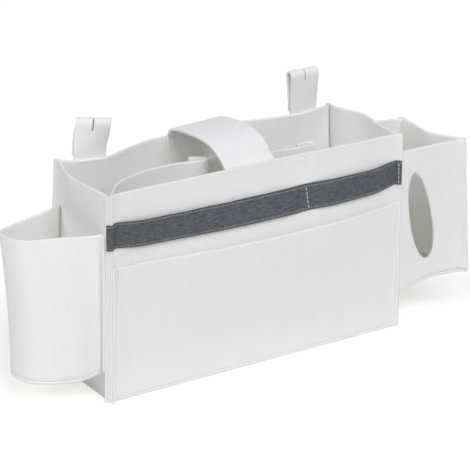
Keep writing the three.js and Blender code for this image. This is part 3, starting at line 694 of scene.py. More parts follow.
def lay(cloth, shares, heights, lift=0.0):
    """Rows of points of a standing cloth, lifted off its middle towards the outside."""
    rows = []
    for z in heights:
        line, sides = soft_line(cloth.corners(z), shares, cloth.bend)
        stand = cloth.offset(line, z) + lift
        flat = line + sides * stand[:, None]
        rows.append(at_height(flat, z) + cloth.push(line, z))
    return settle(np.array(rows))


def standing_piece(name, cloth, low, high, **options):
    """A thick sheet of a standing cloth between two heights."""
    length = line_length(cloth.corners(high))
    grid = lay(cloth, stops(length) / length, levels(low, high))
    return sheet_piece(name, grid, flat_cut(grid), **options)


dressed = []


def dress(piece, nodes, body="caddy"):
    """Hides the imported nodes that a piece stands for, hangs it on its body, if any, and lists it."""
    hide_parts(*nodes)
    if body:
        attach(piece, body)
    cut = cuts.get(piece.name)
    if cut:
        flat = (cut.width * MILLIMETRE, cut.length * MILLIMETRE)
        cut.area * MILLIMETRE ** 2
    dressed.append(piece.name)
    return piece


print("soft shifts of up to", sum(amount for _, amount in WAVE_LENGTHS), "mm")

# %% [markdown]
# ## The box
# Four walls meet in the corner ridges. In the front left one a divider lies between the two walls, so that
# stack is thicker. A hollowed block would be quicker to make, but each wall here is its own cut of felt, as
# on the real box, so that each can give way by itself. The soft front bulges at the pocket's mouth, the
# back rim curves inwards at the loops and outwards between them, and the ends swell at their rims.

# %% Box walls
FRONT_BULGE_LEFT, FRONT_BULGE_RIGHT, BACK_RIM_PUSH = 8, 17, 7
LEFT_RIM_BULGE, RIGHT_RIM_BULGE = 6, 6
LOOP_PLACES = {"left": -126, "right": 121.5}
BACK_RIM_PLACES = (-165, -150, -132, -114, -100, -86, -66, -47, 0, 50, 66, 83, 98, 121, 141, 165)
back_rim_shift = smooth_curve(
    BACK_RIM_PLACES, (-3, -6, -9.5, -11.5, -9.5, -5, 0, 4, 4, 3.5, 0, -3.4, -5.6, -7, -3, 0),
)
back_rim_sag = smooth_curve(BACK_RIM_PLACES, (0, -1, -1.5, -2, -1.5, -0.5, 0, 0, 0, 0, 0, 0, 0, 0, 0, 0))


def front_push(line, z):
    along = np.clip((line[:, 0] - front_start) / (front_end - front_start), 0, 1)
    reach = (FRONT_BULGE_LEFT + (FRONT_BULGE_RIGHT - FRONT_BULGE_LEFT) * along) * np.sin(np.pi * along)
    below = (z - FLOOR) / (POCKET_HEIGHT - FLOOR)
    above = (BOX_HEIGHT - z) / (BOX_HEIGHT - POCKET_HEIGHT)
    return shift(line, y=-reach * ramp(min(below, above), 0, 1))


def back_push(line, z):
    share = (max(z, 0) / BOX_HEIGHT) ** 2
    return shift(line, y=share * back_rim_shift(line[:, 0]), z=share * back_rim_sag(line[:, 0]))


def right_push(line, z):
    share = hump(line[:, 1], -BOX_DEPTH / 4, BOX_DEPTH / 8, BOX_DEPTH / 2.2)
    return shift(line, x=RIGHT_RIM_BULGE * share * (z / BOX_HEIGHT) ** 3)


def left_push(line, z):
    share = np.clip((line[:, 1] - front_left.root[1]) / (back_left.root[1] - front_left.root[1]), 0, 1)
    return shift(line, x=-LEFT_RIM_BULGE * np.sqrt(np.sin(np.pi * share)) * (z / BOX_HEIGHT) ** 3)


BEND = 2.2
front = Cloth(lambda z: front_corners, BEND, no_offset, front_push)
back = Cloth(lambda z: back_corners, BEND, no_offset, back_push)
right_end = Cloth(lambda z: right_corners, BEND, no_offset, right_push)
left_end = Cloth(lambda z: left_corners, BEND, no_offset, left_push)

walls = {"front": front, "back": back, "right_end": right_end, "left_end": left_end}
for side, cloth in walls.items():
    dress(standing_piece(f"felt_{side}", cloth, FLOOR, BOX_HEIGHT), [f"{side}_wall"])
print("walls:", dressed)

# %% [markdown]
# ## Flat bases
# A base is a flat piece of felt. Its outline follows the outer faces of the walls above it, so that their
# edges lie in one seam. A grid of faces would have ragged edges there. So a ring of faces a little inside
# the outline rounds the lip, and the middle is one flat face.

# %% Base panels
OUTLINE_STEP, OUTLINE_BEND = 2.5, 0.6


def slab(name, outline, level, slope=None):
    """A flat piece with rounded lips. slope gives a rise for each place along X at its height."""
    closed = np.vstack([outline, outline[:1]])
    length = line_length(closed)
    shares = np.linspace(0, 1, int(length / OUTLINE_STEP), endpoint=False)
    line, sides = soft_line(closed, shares, OUTLINE_BEND)
    inner = line - sides * LIP_ROUND
    rings = [(inner, 0.0), (line, LIP_ROUND), (line, FELT - LIP_ROUND), (inner, FELT)]
    points = np.vstack([at_height(ring, level + z) for ring, z in rings])
    spread = flare(points[:, 2])
    points[:, 2] += slope(points[:, 0], level) if slope else 0
    points[:, 0] *= spread
    n = len(line)
    around = np.arange(n)
    ahead = (around + 1) % n
    side_faces = [
        np.stack([around + k * n, ahead + k * n, ahead + (k + 1) * n, around + (k + 1) * n], 1).tolist()
        for k in range(3)
    ]
    skins = [list(range(n))[::-1], list(range(3 * n, 4 * n)), *side_faces[0], *side_faces[2]]
    cuts[name] = Cut(*np.ptp(line, axis=0), outline_area(line))
    return make_piece(name, points, skins, side_faces[1], points[:, :2], (felt_face, felt_edge_painted_highlight))


def outer_line(corners, distance, bend=BEND):
    length = line_length(corners)
    line, sides = soft_line(corners, stops(length) / length, bend)
    return line + sides * distance


base_outline = np.vstack([
    outer_line(front_corners, LAYER + FELT / 2),
    outer_line(right_corners, FELT / 2),
    outer_line(back_corners, FELT / 2),
    outer_line(left_corners, FELT / 2),
])
dress(slab("felt_base", base_outline, 0), ["base_panel"])
print("base outline has", len(base_outline), "points")

# %% [markdown]
# ## Front pocket and tape
# The pocket is a second layer in the same corner seams, slack at its mouth. The tape is sewn down at both
# ends and once between them, and stands off the wall to make a long and a short pen loop. Its left end is
# folded over the ridge, and it hangs a little between its ends. Both could be copies of the wall that are
# moved forwards, but as cloths of their own they follow its bulge and still get their own slack.


# %% Front pocket
def pocket_offset(line, z):
    along = np.clip((line[:, 0] - front_start) / (front_end - front_start), 0, 1)
    return LAYER + POCKET_SLACK * np.sqrt(np.sin(np.pi * along)) * ramp(z, FLOOR, POCKET_HEIGHT)


pocket = Cloth(lambda z: front_corners, BEND, pocket_offset, front_push)
dress(standing_piece("felt_front_pocket", pocket, FLOOR, POCKET_HEIGHT), ["front_pocket_panel"])
print("front pocket is", POCKET_HEIGHT, "mm high")

# %% Woven tape
PEN_LOOP, PEN_LOOP_RISE, TAPE_SAG, SAG_REACH, TAPE_BEND = 2.5, 30, 1.6, (5, 40), 0.7
TAPE_STAND = FELT / 2 + FIT_GAP + TAPE_THICKNESS / 2


def tape_offset(line, z):
    x = line[:, 0]
    nearest = np.min([np.abs(x - tack) for tack in TACKS], axis=0)
    between = (x > TACKS[0]) & (x < TACKS[-1])
    return TAPE_STAND + np.where(between, PEN_LOOP * ramp(nearest, 1, PEN_LOOP_RISE), 0)


def tape_push(line, z):
    """The tape goes with the wall and hangs a little between its ends."""
    push = front_push(line, z)
    push[:, 2] -= TAPE_SAG * ramp(BOX_LENGTH / 2 - np.abs(line[:, 0]), *SAG_REACH)
    return push


tape_tip = front_corners[0] - front_left.out * FELT / 2
tape_corners = np.vstack([tape_tip + right_of(front_left.out) * TAPE_WRAP, tape_tip, front_corners[1:]])
tape = Cloth(lambda z: tape_corners, TAPE_BEND, tape_offset, tape_push)
tape_length = line_length(tape_corners)
tape_shares = stops(tape_length, coarse=3.0, fine=0.7) / tape_length
tape_heights = TAPE_LOW + stops(TAPE_TOP - TAPE_LOW, coarse=1.5, fine=0.7, zone=3.0, lip=0.3)
tape_grid = lay(tape, tape_shares, tape_heights)
tape_look = {"thickness": TAPE_THICKNESS, "materials": (webbing.owner,)}
tape_piece = sheet_piece("tape_across_front", tape_grid, flat_cut(tape_grid), **tape_look)
dress(tape_piece, ["pen_loop_tape"])
print("tape is cut", round(float(flat_cut(tape_grid)[:, -1, 0].mean())), "mm long")

# %% [markdown]
# ## Dividers
# The left strip leaves the front left seam, where it is as high as the walls, swings across the box and
# ends beside the handle in an open hem. A second strip runs on under the handle, and a third one takes over
# from it and ends in a hem like the first. A Bezier curve could be bent by hand for each, but a smooth
# curve through a few points, given as shares of the box, is easier to read and to change.

# %% Divider lines
DIVIDER_HEIGHT, DIVIDER_LEAD = 198, 8
LEFT_HEM_RADIUS, LEFT_HEM_TURN, RIGHT_HEM_RADIUS, RIGHT_HEM_TURN, HEM_TAIL = 5, 150, 5.5, 190, 12
LEFT_SHAPE = ((0.1, 0.355), (0.17, 0.465), (0.25, 0.53), (0.333, 0.524), (0.408, 0.462))
RIGHT_SHAPE = ((0.583, 0.366), (0.626, 0.354), (0.69, 0.327), (0.754, 0.317))


def arc(centre, radius, start, end):
    angles = np.linspace(start, end, 16)
    return np.array(centre) + radius * np.column_stack([np.cos(angles), np.sin(angles)])


def box_places(shape):
    return (np.array(shape) - 0.5) * (BOX_LENGTH, BOX_DEPTH)


def hem(start, radius, turn):
    """The strip turns left round an open hem and runs on a little."""
    turn = math.radians(turn)
    bend = arc((start[0], start[1] + radius), radius, -np.pi / 2, turn - np.pi / 2)[1:]
    return np.vstack([bend, bend[-1] + HEM_TAIL * np.array([math.cos(turn), math.sin(turn)])])


leave = front_left.root - front_left.out * DIVIDER_LEAD
swing = spline(np.vstack([leave, box_places(LEFT_SHAPE)]), 40)
left_hem = hem(swing[-1], LEFT_HEM_RADIUS, LEFT_HEM_TURN)
left_strip = np.vstack([front_left.tip, front_left.root, swing, left_hem])
run = spline(box_places(RIGHT_SHAPE), 20)
right_strip = np.vstack([run, hem(run[-1], RIGHT_HEM_RADIUS, RIGHT_HEM_TURN)])
left_tip = swing[-1] + (LEFT_HEM_RADIUS + LAYER, LEFT_HEM_RADIUS)
centre_strip = np.vstack([left_tip, box_places(RIGHT_SHAPE[:2]) + (0, LAYER)])

for strip in (left_strip, centre_strip, right_strip):
    print("a divider strip is cut", round(line_length(strip)), "mm long")

# %% Divider strips
SEAM_REACH, DIVIDER_BEND = (8, 60), 0.8


def seam_lift(line, z):
    """In the front corner a strip is as high as the walls that it is sewn between."""
    away = np.linalg.norm(line - front_left.tip, axis=1)
    return shift(line, z=(BOX_HEIGHT - DIVIDER_HEIGHT) * (1 - ramp(away, *SEAM_REACH)) * z / DIVIDER_HEIGHT)


def divider(side, corners):
    cloth = Cloth(lambda z: corners, DIVIDER_BEND, no_offset, seam_lift)
    length = line_length(corners)
    shares = stops(length, coarse=2.5, zone=34.0 if length > 100 else 10.0, fine=1.0) / length
    grid = lay(cloth, shares, levels(FLOOR, DIVIDER_HEIGHT))
    piece = sheet_piece(f"felt_divider_{side}", grid, flat_cut(grid))
    return dress(piece, [f"{side}_divider"])


divider("left", left_strip)
divider("centre", centre_strip)
divider("right", right_strip)
print("dividers:", dressed[-3:])

# %% [markdown]
# ## Bottle pocket
# A strip is sewn to the back of the left end, bellies out and comes back in a small fold behind the front
# ridge. Part of a cone would come close, but the strip isn't round and is narrower at its bottom. So two
# short lists of points give its plan at the rim and at the bottom, and each height takes its share of them.

# %% Bottle pocket
BOTTLE_BOTTOM, BOTTLE_RIM, BOTTLE_RIM_REACH, BOTTLE_BASE_REACH = 28, 165, 81, 72
BOTTLE_FLANGE, BOTTLE_BACK_INSET, BOTTLE_FOLD_RADIUS, BOTTLE_FOLD_START = 6, 18, 2.6, math.radians(79)
RIM_SHAPE = np.array([[0.19, 0.79], [0.7, 0.66], [0.91, 0.59], [0.935, 0.46], [0.81, 0.3], [0.45, 0.21]])
BASE_SHAPE = np.array([[0.32, 0.74], [0.71, 0.61], [0.95, 0.5], [1, 0.35], [0.89, 0.18], [0.45, 0.05]])
BOTTLE_FLARE, BOTTLE_BEND, SEWN_REACH = 1.8, 1.0, (30, 8)


def left_wall_at(y):
    share = (y - front_left.root[1]) / (back_left.root[1] - front_left.root[1])
    return front_left.root[0] + share * (back_left.root[0] - front_left.root[0])


def bottle_fold():
    side = right_of(front_left.out)
    centre = front_left.root + side * (2 * LAYER + BOTTLE_FOLD_RADIUS)
    angles = np.linspace(BOTTLE_FOLD_START, math.atan2(-side[1], -side[0]), 9)
    arc = centre + BOTTLE_FOLD_RADIUS * np.column_stack([np.cos(angles), np.sin(angles)])
    return np.vstack([arc, front_left.tip + side * 2 * LAYER])


def bottle_curve(z):
    up = (z - BOTTLE_BOTTOM) / (BOTTLE_RIM - BOTTLE_BOTTOM)
    up = max(up, 0) ** BOTTLE_FLARE
    reach = BOTTLE_BASE_REACH + (BOTTLE_RIM_REACH - BOTTLE_BASE_REACH) * up
    contact_y = BOX_DEPTH / 2 - BOTTLE_BACK_INSET
    shape = BASE_SHAPE + (RIM_SHAPE - BASE_SHAPE) * up
    belly = np.column_stack([-BOX_LENGTH / 2 - reach * shape[:, 0], BOX_DEPTH * (shape[:, 1] - 0.5)])
    contact = [left_wall_at(contact_y) - LAYER, contact_y]
    return spline(np.vstack([contact, belly, bottle_fold()[:1]]), 66)


def bottle_corners(z):
    curve = bottle_curve(z)
    end_y = curve[0, 1] + BOTTLE_FLANGE
    return np.vstack([[left_wall_at(end_y) - LAYER, end_y], curve, bottle_fold()[1:]])


def bottle_push(line, z):
    """The edge that is sewn to the end wall moves with it."""
    near = ramp(line[:, 0], *(-BOX_LENGTH / 2 - reach for reach in SEWN_REACH))
    return left_push(line, z) * near[:, None]


bottle = Cloth(bottle_corners, BOTTLE_BEND, no_offset, bottle_push)
bottle_wall = standing_piece("felt_bottle_pocket", bottle, BOTTLE_BOTTOM + LAYER, BOTTLE_RIM)
dress(bottle_wall, ["bottle_pocket_wall"])

# The ends are left out, because the outline has its own corners on the end wall.
bottle_edge = outer_line(bottle_curve(BOTTLE_BOTTOM), FELT / 2, BOTTLE_BEND)[2:-2]
wall_y = front_left.root[1] + SEAM_ALLOWANCE + LAYER
bottle_outline = np.vstack([
    [left_wall_at(bottle_edge[0, 1]) - FELT / 2 - FIT_GAP, bottle_edge[0, 1]],
    bottle_edge,
    [left_wall_at(wall_y) - FELT / 2 - FIT_GAP, wall_y],
])
bottle_floor = slab("felt_bottle_base", bottle_outline, BOTTLE_BOTTOM)
dress(bottle_floor, ["bottle_pocket_base"])
print("bottle pocket strip is cut", round(line_length(bottle_corners(BOTTLE_RIM))), "mm long at its rim")

# %% [markdown]
# ## Tissue pocket
# Three panels with pinched seams of their own make a box on the right end. The side panel is creased
# inwards like a bag's gusset, and the bottom hangs a little lower beside the caddy. The front panel has an
# oval hole. A Boolean cut would leave long thin faces and a hole in a grid ragged steps, so the front panel
# is made of rings that run from the hole's edge out to the panel's edge.

# %% Tissue pocket lines
TISSUE_BOTTOM, TISSUE_RIM, TISSUE_FRONT_WIDTH, TISSUE_BACK_WIDTH, TISSUE_DEPTH = 37, 187, 76, 64, 87
TISSUE_LEAN, TISSUE_FORWARD, TISSUE_BACK_INSET, TISSUE_FLANGE, TISSUE_SEAM = 7, 4, 22, 10, 4
TISSUE_CREASE, TISSUE_CREASE_PLACE, TISSUE_CREASE_FADE, TISSUE_BOW = 13, 0.4, 0.7, 9
TISSUE_DROP, TISSUE_LIFT = 4, 5
TISSUE_BEND, GUSSET_BEND = 1.4, 2.4


def tissue_seams(z):
    down = (TISSUE_RIM - z) / (TISSUE_RIM - TISSUE_BOTTOM)
    lean = TISSUE_LEAN * down
    front_y = -BOX_DEPTH / 2 - TISSUE_FORWARD
    slant = math.sqrt(0.5)
    front_tip = (BOX_LENGTH / 2 + TISSUE_FRONT_WIDTH + lean, front_y)
    back_tip = (BOX_LENGTH / 2 + TISSUE_BACK_WIDTH + lean, front_y + TISSUE_DEPTH)
    return seam(front_tip, (slant, -slant), TISSUE_SEAM), seam(back_tip, (slant, slant), TISSUE_SEAM), down


def tissue_front_corners(z):
    front_seam, _, down = tissue_seams(z)
    side = right_of(front_right.out) * (-1.5 * LAYER)
    flange = Seam(front_right.root + side, -front_right.out, front_right.tip + side)
    tip, start, end, last = panel_corners(flange, front_seam, 0, 0.5)
    share = np.linspace(0, 1, 25)[:, None]
    bowed = start + (end - start) * share + np.array([0, TISSUE_BOW * down]) * np.sin(np.pi * share)
    return np.vstack([tip, bowed, last])


def tissue_side_corners(z):
    front_seam, back_seam, down = tissue_seams(z)
    tip, start, end, last = panel_corners(front_seam, back_seam, 0.5, 0.5)
    crease = start + (end - start) * TISSUE_CREASE_PLACE
    crease[0] -= TISSUE_CREASE * (1 - TISSUE_CREASE_FADE * down)
    return np.array([tip, start, crease, end, last])


def tissue_back_corners(z):
    _, back_seam, _ = tissue_seams(z)
    y = BOX_DEPTH / 2 - TISSUE_BACK_INSET
    root = np.array([-left_wall_at(y) + LAYER, y])
    tip = np.array([-left_wall_at(y + TISSUE_FLANGE) + LAYER, y + TISSUE_FLANGE])
    return panel_corners(back_seam, Seam(tip, unit(tip - root), root), 0.5, 0)


def tissue_slope(x, z):
    """The pocket's bottom hangs lower beside the box and is drawn up at its outer corners."""
    out = np.clip((x - BOX_LENGTH / 2) / TISSUE_FRONT_WIDTH, 0, 1)
    down = (TISSUE_RIM - z) / (TISSUE_RIM - TISSUE_BOTTOM)
    return (out * (TISSUE_DROP + TISSUE_LIFT) - TISSUE_DROP) * down


def tissue_push(line, z):
    return shift(line, z=tissue_slope(line[:, 0], z))


tissue_front = Cloth(tissue_front_corners, TISSUE_BEND, no_offset, tissue_push)
tissue_side = Cloth(tissue_side_corners, GUSSET_BEND, no_offset, tissue_push)
tissue_back = Cloth(tissue_back_corners, TISSUE_BEND, no_offset, tissue_push)
TISSUE_SEAT = TISSUE_BOTTOM + LAYER
tissue_gusset = standing_piece("felt_tissue_side", tissue_side, TISSUE_SEAT, TISSUE_RIM)
dress(tissue_gusset, ["tissue_pocket_side"])
tissue_rear = standing_piece("felt_tissue_back", tissue_back, TISSUE_SEAT, TISSUE_RIM)
dress(tissue_rear, ["tissue_pocket_back"])
print("tissue pocket panels:", dressed[-2:])

# %% Tissue front panel with its oval hole
OVAL_WIDTH, OVAL_HEIGHT, OVAL_PLACE, OVAL_MIDDLE, OVAL_LEAN = 25, 103, 28, 111, math.radians(11.5)


def on_tissue_front(shares, heights):
    """Points of the front panel at matching shares of its length and heights."""
    points = []
    for share, z in zip(shares, heights):
        line, _ = soft_line(tissue_front_corners(z), [share], tissue_front.bend)
        points.append((*line[0], z + tissue_slope(line[0, 0], z)))
    return np.array(points)


def share_at(x, z):
    """The share of the front panel's line at which it passes a place along X."""
    shares = np.linspace(0.12, 0.96, 60)
    line, _ = soft_line(tissue_front_corners(z), shares, tissue_front.bend)
    return float(np.interp(x, line[:, 0], shares))


tissue_length = line_length(tissue_front_corners(TISSUE_RIM))
side_stops = stops(TISSUE_RIM - TISSUE_SEAT, coarse=4.0) / (TISSUE_RIM - TISSUE_SEAT)
edge_stops = stops(tissue_length, coarse=4.0, fine=1.0, zone=16.0) / tissue_length
low_edge = [(s, 0.0) for s in edge_stops[:-1]]
right_edge = [(1.0, t) for t in side_stops[:-1]]
top_edge = [(s, 1.0) for s in edge_stops[:0:-1]]
left_edge = [(0.0, t) for t in side_stops[:0:-1]]
border = np.array(low_edge + right_edge + top_edge + left_edge)
outer = border * (tissue_length, TISSUE_RIM - TISSUE_SEAT) + (0, TISSUE_SEAT)

hole_x, hole_z = share_at(BOX_LENGTH / 2 + OVAL_PLACE, OVAL_MIDDLE) * tissue_length, OVAL_MIDDLE
direction = np.arctan2((outer[:, 1] - hole_z) / OVAL_HEIGHT, (outer[:, 0] - hole_x) / OVAL_WIDTH)
oval = np.column_stack([OVAL_WIDTH / 2 * np.cos(direction), OVAL_HEIGHT / 2 * np.sin(direction)])
lean_cos, lean_sin = math.cos(OVAL_LEAN), math.sin(OVAL_LEAN)
lean = np.array([[lean_cos, lean_sin], [-lean_sin, lean_cos]])
hole = oval @ lean + (hole_x, hole_z)
ring_shares = np.concatenate([[0, 0.02], np.linspace(0.08, 0.94, 12), [0.985, 1]])
rings = np.array([hole + (outer - hole) * share for share in ring_shares])
tissue_points = on_tissue_front(rings[..., 0].ravel() / tissue_length, rings[..., 1].ravel())
tissue_grid = settle(tissue_points.reshape(*rings.shape[:2], 3))
tissue_face = sheet_piece("felt_tissue_front", tissue_grid, rings, ring=True)
dress(tissue_face, ["tissue_pocket_front"])
print("oval hole", OVAL_WIDTH, "by", OVAL_HEIGHT, "mm")

# %% Tissue pocket bottom
# How many points of each flange and its bend are left out of the bottom's outline
FRONT_FLANGE_POINTS, BACK_FLANGE_POINTS = 7, 14


def on_right_wall(y):
    """A place on the outside of the right end wall, a fit gap off it."""
    return [-left_wall_at(y) + FELT / 2 + FIT_GAP, y]


front_run, side_run, back_run = (
    outer_line(cloth.corners(TISSUE_BOTTOM), FELT / 2, cloth.bend)
    for cloth in (tissue_front, tissue_side, tissue_back)
)
back_run = back_run[:-BACK_FLANGE_POINTS]
tissue_outline = np.vstack([
    on_right_wall(front_right.root[1] + LAYER + 1),
    front_run[FRONT_FLANGE_POINTS:],
    side_run,
    back_run,
    on_right_wall(back_run[-1, 1]),
])
tissue_floor = slab("felt_tissue_base", tissue_outline, TISSUE_BOTTOM, tissue_slope)
dress(tissue_floor, ["tissue_pocket_base"])
print("tissue pocket bottom has", len(tissue_outline), "points")

# %% [markdown]
# ## Carry handle and hanging loops
# These are bands of felt. A curve with a bevel could draw one, but a grid keeps its flat cut and can have a
# slit. So each is a line seen from the side, as wide as the band. The handle goes from the inside of the
# back wall over a flat arch to the inside of the front wall, and its tails lie on the walls. Each hanging
# loop is sewn behind the back wall, stands up over the rim, is folded over backwards at the top and ends on
# its own front ply. A short slit runs from the fold down the front ply.


# %% Carry handle
def band_grid(profile, columns, bend):
    """Rows along a side view in Y and Z, with columns across the band's width."""
    length = line_length(profile)
    line, _ = soft_line(profile, stops(length, coarse=2.0, zone=6.0) / length, bend)
    rows = [np.column_stack([columns, np.full(len(columns), y), np.full(len(columns), z)]) for y, z in line]
    return np.array(rows)


HANDLE_WIDTH, HANDLE_RISE, HANDLE_SKEW = 55, 13, 9
HANDLE_LIFT, HANDLE_TILT, HANDLE_BEND = 2.7, 1.6, 1.2
HANDLE_FRONT_DROP, HANDLE_FRONT_TAIL, HANDLE_BACK_TAIL = 28.6, 45, 55
HANDLE_ARCH = np.array([[0, 0], [0.06, 0.7], [0.25, 1], [0.52, 1], [0.74, 0.45], [0.9, -0.79]])
handle_back = back_corners[1, 1] - LAYER
handle_front = front_corners[1, 1] + LAYER
crown = HANDLE_RISE - FELT / 2
arch = np.vstack([HANDLE_ARCH * (1, crown), [1, -HANDLE_FRONT_DROP]])
arch = np.column_stack([handle_back - arch[:, 0] * (handle_back - handle_front), BOX_HEIGHT + arch[:, 1]])
handle_profile = np.vstack([
    [handle_back, BOX_HEIGHT - HANDLE_BACK_TAIL],
    spline(arch, 60),
    [handle_front, BOX_HEIGHT - HANDLE_FRONT_DROP - HANDLE_FRONT_TAIL],
])
handle_columns = stops(HANDLE_WIDTH, coarse=3.5, zone=3.0) - HANDLE_WIDTH / 2
handle_grid = band_grid(handle_profile, handle_columns, HANDLE_BEND)
to_back = np.clip((handle_grid[..., 1] - handle_front) / (handle_back - handle_front), 0, 1)
raised = ramp(handle_grid[..., 2], BOX_HEIGHT - 2, BOX_HEIGHT + crown)
handle_grid[..., 2] += (HANDLE_LIFT + HANDLE_TILT * handle_grid[..., 0] / (HANDLE_WIDTH / 2)) * raised
handle_grid[..., 0] -= HANDLE_SKEW * to_back
for row, share in zip(handle_grid, to_back[:, 0]):
    level = min(row[0, 2], BOX_HEIGHT)
    row[:, 1] += back_push(row, level)[:, 1] * ramp(share, 0.6, 1)
    row[:, 1] += front_push(row, level)[:, 1] * (1 - ramp(share, 0, 0.4))
handle_grid = settle(handle_grid)
handle = sheet_piece("felt_handle", handle_grid, flat_cut(handle_grid))
dress(handle, ["carry_handle"], body=None)
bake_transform(handle)
print("handle band is cut", round(line_length(handle_profile)), "by", HANDLE_WIDTH, "mm")

# %% Hanging loops
LOOP_WIDTH, LOOP_TAIL, LOOP_TUNNEL, LOOP_SLIT, LOOP_SLIT_DEPTH, LOOP_END = 33, 34, 4.8, 1.2, 13, 207
LOOP_RISES = {"left": 36, "right": 44}
LOOP_TWIST = {"left": math.radians(-33), "right": 0.0}
LOOP_LEAN = {"left": 5, "right": 0}
LOOP_BEND = 0.8
loop_row = back_corners[1, 1] + LAYER - BACK_RIM_PUSH
loop_radius = (LOOP_TUNNEL + FELT) / 2


def loop_profile(rise):
    """Up the front ply, over the fold and down the back ply, which ends on the front ply."""
    fold_height = BOX_HEIGHT + rise - loop_radius - FELT / 2
    return np.vstack([
        [loop_row, BOX_HEIGHT - LOOP_TAIL],
        arc((loop_row + loop_radius, fold_height), loop_radius, np.pi, 0),
        [loop_row + LAYER, LOOP_END + 2 * LOOP_TUNNEL],
        [loop_row + LAYER, LOOP_END],
    ])


def hanging_loop(side):
    place, rise = LOOP_PLACES[side], LOOP_RISES[side]
    half_columns = stops((LOOP_WIDTH - LOOP_SLIT) / 2, coarse=3.0, zone=3.0)
    columns = place - LOOP_WIDTH / 2 + np.concatenate([half_columns, LOOP_WIDTH - half_columns[::-1]])
    grid = band_grid(loop_profile(rise), columns, LOOP_BEND)
    cut = flat_cut(grid)
    behind = back_corners[1, 1] + LAYER
    for row in grid:
        z = row[0, 2]
        on_wall = behind + back_push(row, min(z, BOX_HEIGHT))[:, 1]
        row[:, 1] += (on_wall - loop_row) * (1 - ramp(z, BOX_HEIGHT - 4, BOX_HEIGHT + rise))
    grid[..., 0] += LOOP_LEAN[side] * ramp(grid[..., 2], BOX_HEIGHT, BOX_HEIGHT + rise)
    turn = LOOP_TWIST[side] * ramp(grid[..., 2], BOX_HEIGHT, BOX_HEIGHT + rise)
    x, y = grid[..., 0] - place, grid[..., 1] - loop_row
    grid[..., 0] = place + x * np.cos(turn) - y * np.sin(turn)
    grid[..., 1] = loop_row + x * np.sin(turn) + y * np.cos(turn)
    middle = (cut[1:, 1:] + cut[:-1, :-1]) / 2
    top = LOOP_TAIL + rise - loop_radius - FELT / 2 + math.pi / 2 * loop_radius
    in_width = np.abs(middle[..., 0] - LOOP_WIDTH / 2) < LOOP_SLIT / 2
    in_length = (middle[..., 1] > top - LOOP_SLIT_DEPTH) & (middle[..., 1] < top + 1)
    piece = sheet_piece(f"felt_{side}_loop", settle(grid), cut, keep=~(in_width & in_length))
    nodes = [f"{side}_loop_tail", f"{side}_loop_crease", f"{side}_hanging_loop"]
    dress(piece, nodes, body=None)
    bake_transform(piece)
    return cut


for side in LOOP_PLACES:
    cut = hanging_loop(side)
    print(side, "loop is cut", LOOP_WIDTH, "by", round(float(cut[-1, 0, 1])), "mm")

# %% [markdown]
# ## Stitches
# The seams are sewn in stitches of about four millimetres. A bump in the felt's finish could show them, but
# it would lie flat at the outline. So a stitch is a short tube that rises out of the felt and dips back
# into it, so that only its back shows. Rows follow the cloth that they hold.

# %% Stitch rows
STITCH_STEP, STITCH_LENGTH, STITCH_BOW, STITCH_SINK = 4.2, 3.4, 0.55, 0.35
TUBE_SIDES, TUBE_RINGS = 6, 7


def stitch_row(name, path, outward, nodes, thread=sewing):
    """Tubes along a path of points, bowed out along the given directions."""
    steps = walked(path)
    count = max(1, int(steps[-1] / STITCH_STEP))
    starts = (steps[-1] - count * STITCH_STEP) / 2 + np.arange(count) * STITCH_STEP
    spots = np.linspace(0, 1, TUBE_RINGS)
    angles = np.linspace(0, 2 * np.pi, TUBE_SIDES + 1)[:-1]
    vertices, faces = [], []
    for start in starts:
        at = start + spots * STITCH_LENGTH
        out = unit(read(at, steps, outward))
        rise = STITCH_BOW * np.sin(np.pi * spots) ** 0.6 - STITCH_SINK
        line = read(at, steps, path) + out * rise[:, None]
        sideways = unit(np.cross(out, np.gradient(line, axis=0)))
        first = len(vertices)
        for centre, o, s in zip(line, out, sideways):
            vertices.extend(centre + THREAD * (np.cos(a) * s + np.sin(a) * o) for a in angles)
        last = len(vertices) - TUBE_SIDES
        for ring in range(first, last, TUBE_SIDES):
            for k in range(TUBE_SIDES):
                a, b = ring + k, ring + (k + 1) % TUBE_SIDES
                faces.append((a, b, b + TUBE_SIDES, a + TUBE_SIDES))
        faces.append(tuple(range(first, first + TUBE_SIDES))[::-1])
        faces.append(tuple(range(last, last + TUBE_SIDES)))
    uv = np.zeros((len(vertices), 2))
    piece = make_piece(name, vertices, faces, [], uv, (thread,))
    return dress(piece, nodes)


def upright_row(name, cloth, share, low, high, lift, nodes, thread=sewing):
    """A row that climbs a cloth at one share of its length."""
    heights = np.arange(low, high + 1, 1.0)
    path = lay(cloth, [share], heights, lift)[:, 0]
    beyond = lay(cloth, [share], heights, lift + np.sign(lift))[:, 0]
    return stitch_row(name, path, beyond - path, nodes, thread)


def level_row(name, cloth, shares, z, lift, nodes):
    """A row that runs along a cloth at one height."""
    path = lay(cloth, shares, [z], lift)[0]
    beyond = lay(cloth, shares, [z], lift + np.sign(lift))[0]
    return stitch_row(name, path, beyond - path, nodes)


print("stitches are", STITCH_LENGTH, "mm long")

# %% Seam and tape stitches
front_length, back_length = line_length(front_corners), line_length(back_corners)
FACE = FELT / 2
SEAM_LINE = SEAM_ALLOWANCE / 2
ROW_START, ROW_END_INSET, TACK_INSET, BASE_ROW_RISE = 6, 3, 1.5, 3.5
FOLD_POINTS = 40
corner_rows = {
    "front_left": (pocket, SEAM_LINE / front_length, POCKET_HEIGHT),
    "front_right": (pocket, 1 - SEAM_LINE / front_length, POCKET_HEIGHT),
    "back_right": (back, SEAM_LINE / back_length, BOX_HEIGHT),
    "back_left": (back, 1 - SEAM_LINE / back_length, BOX_HEIGHT),
}
for corner, (cloth, share, rim) in corner_rows.items():
    nodes = [f"corner_thread_{corner}"]
    upright_row(f"stitches_{corner}", cloth, share, ROW_START, rim - ROW_END_INSET, FACE, nodes)

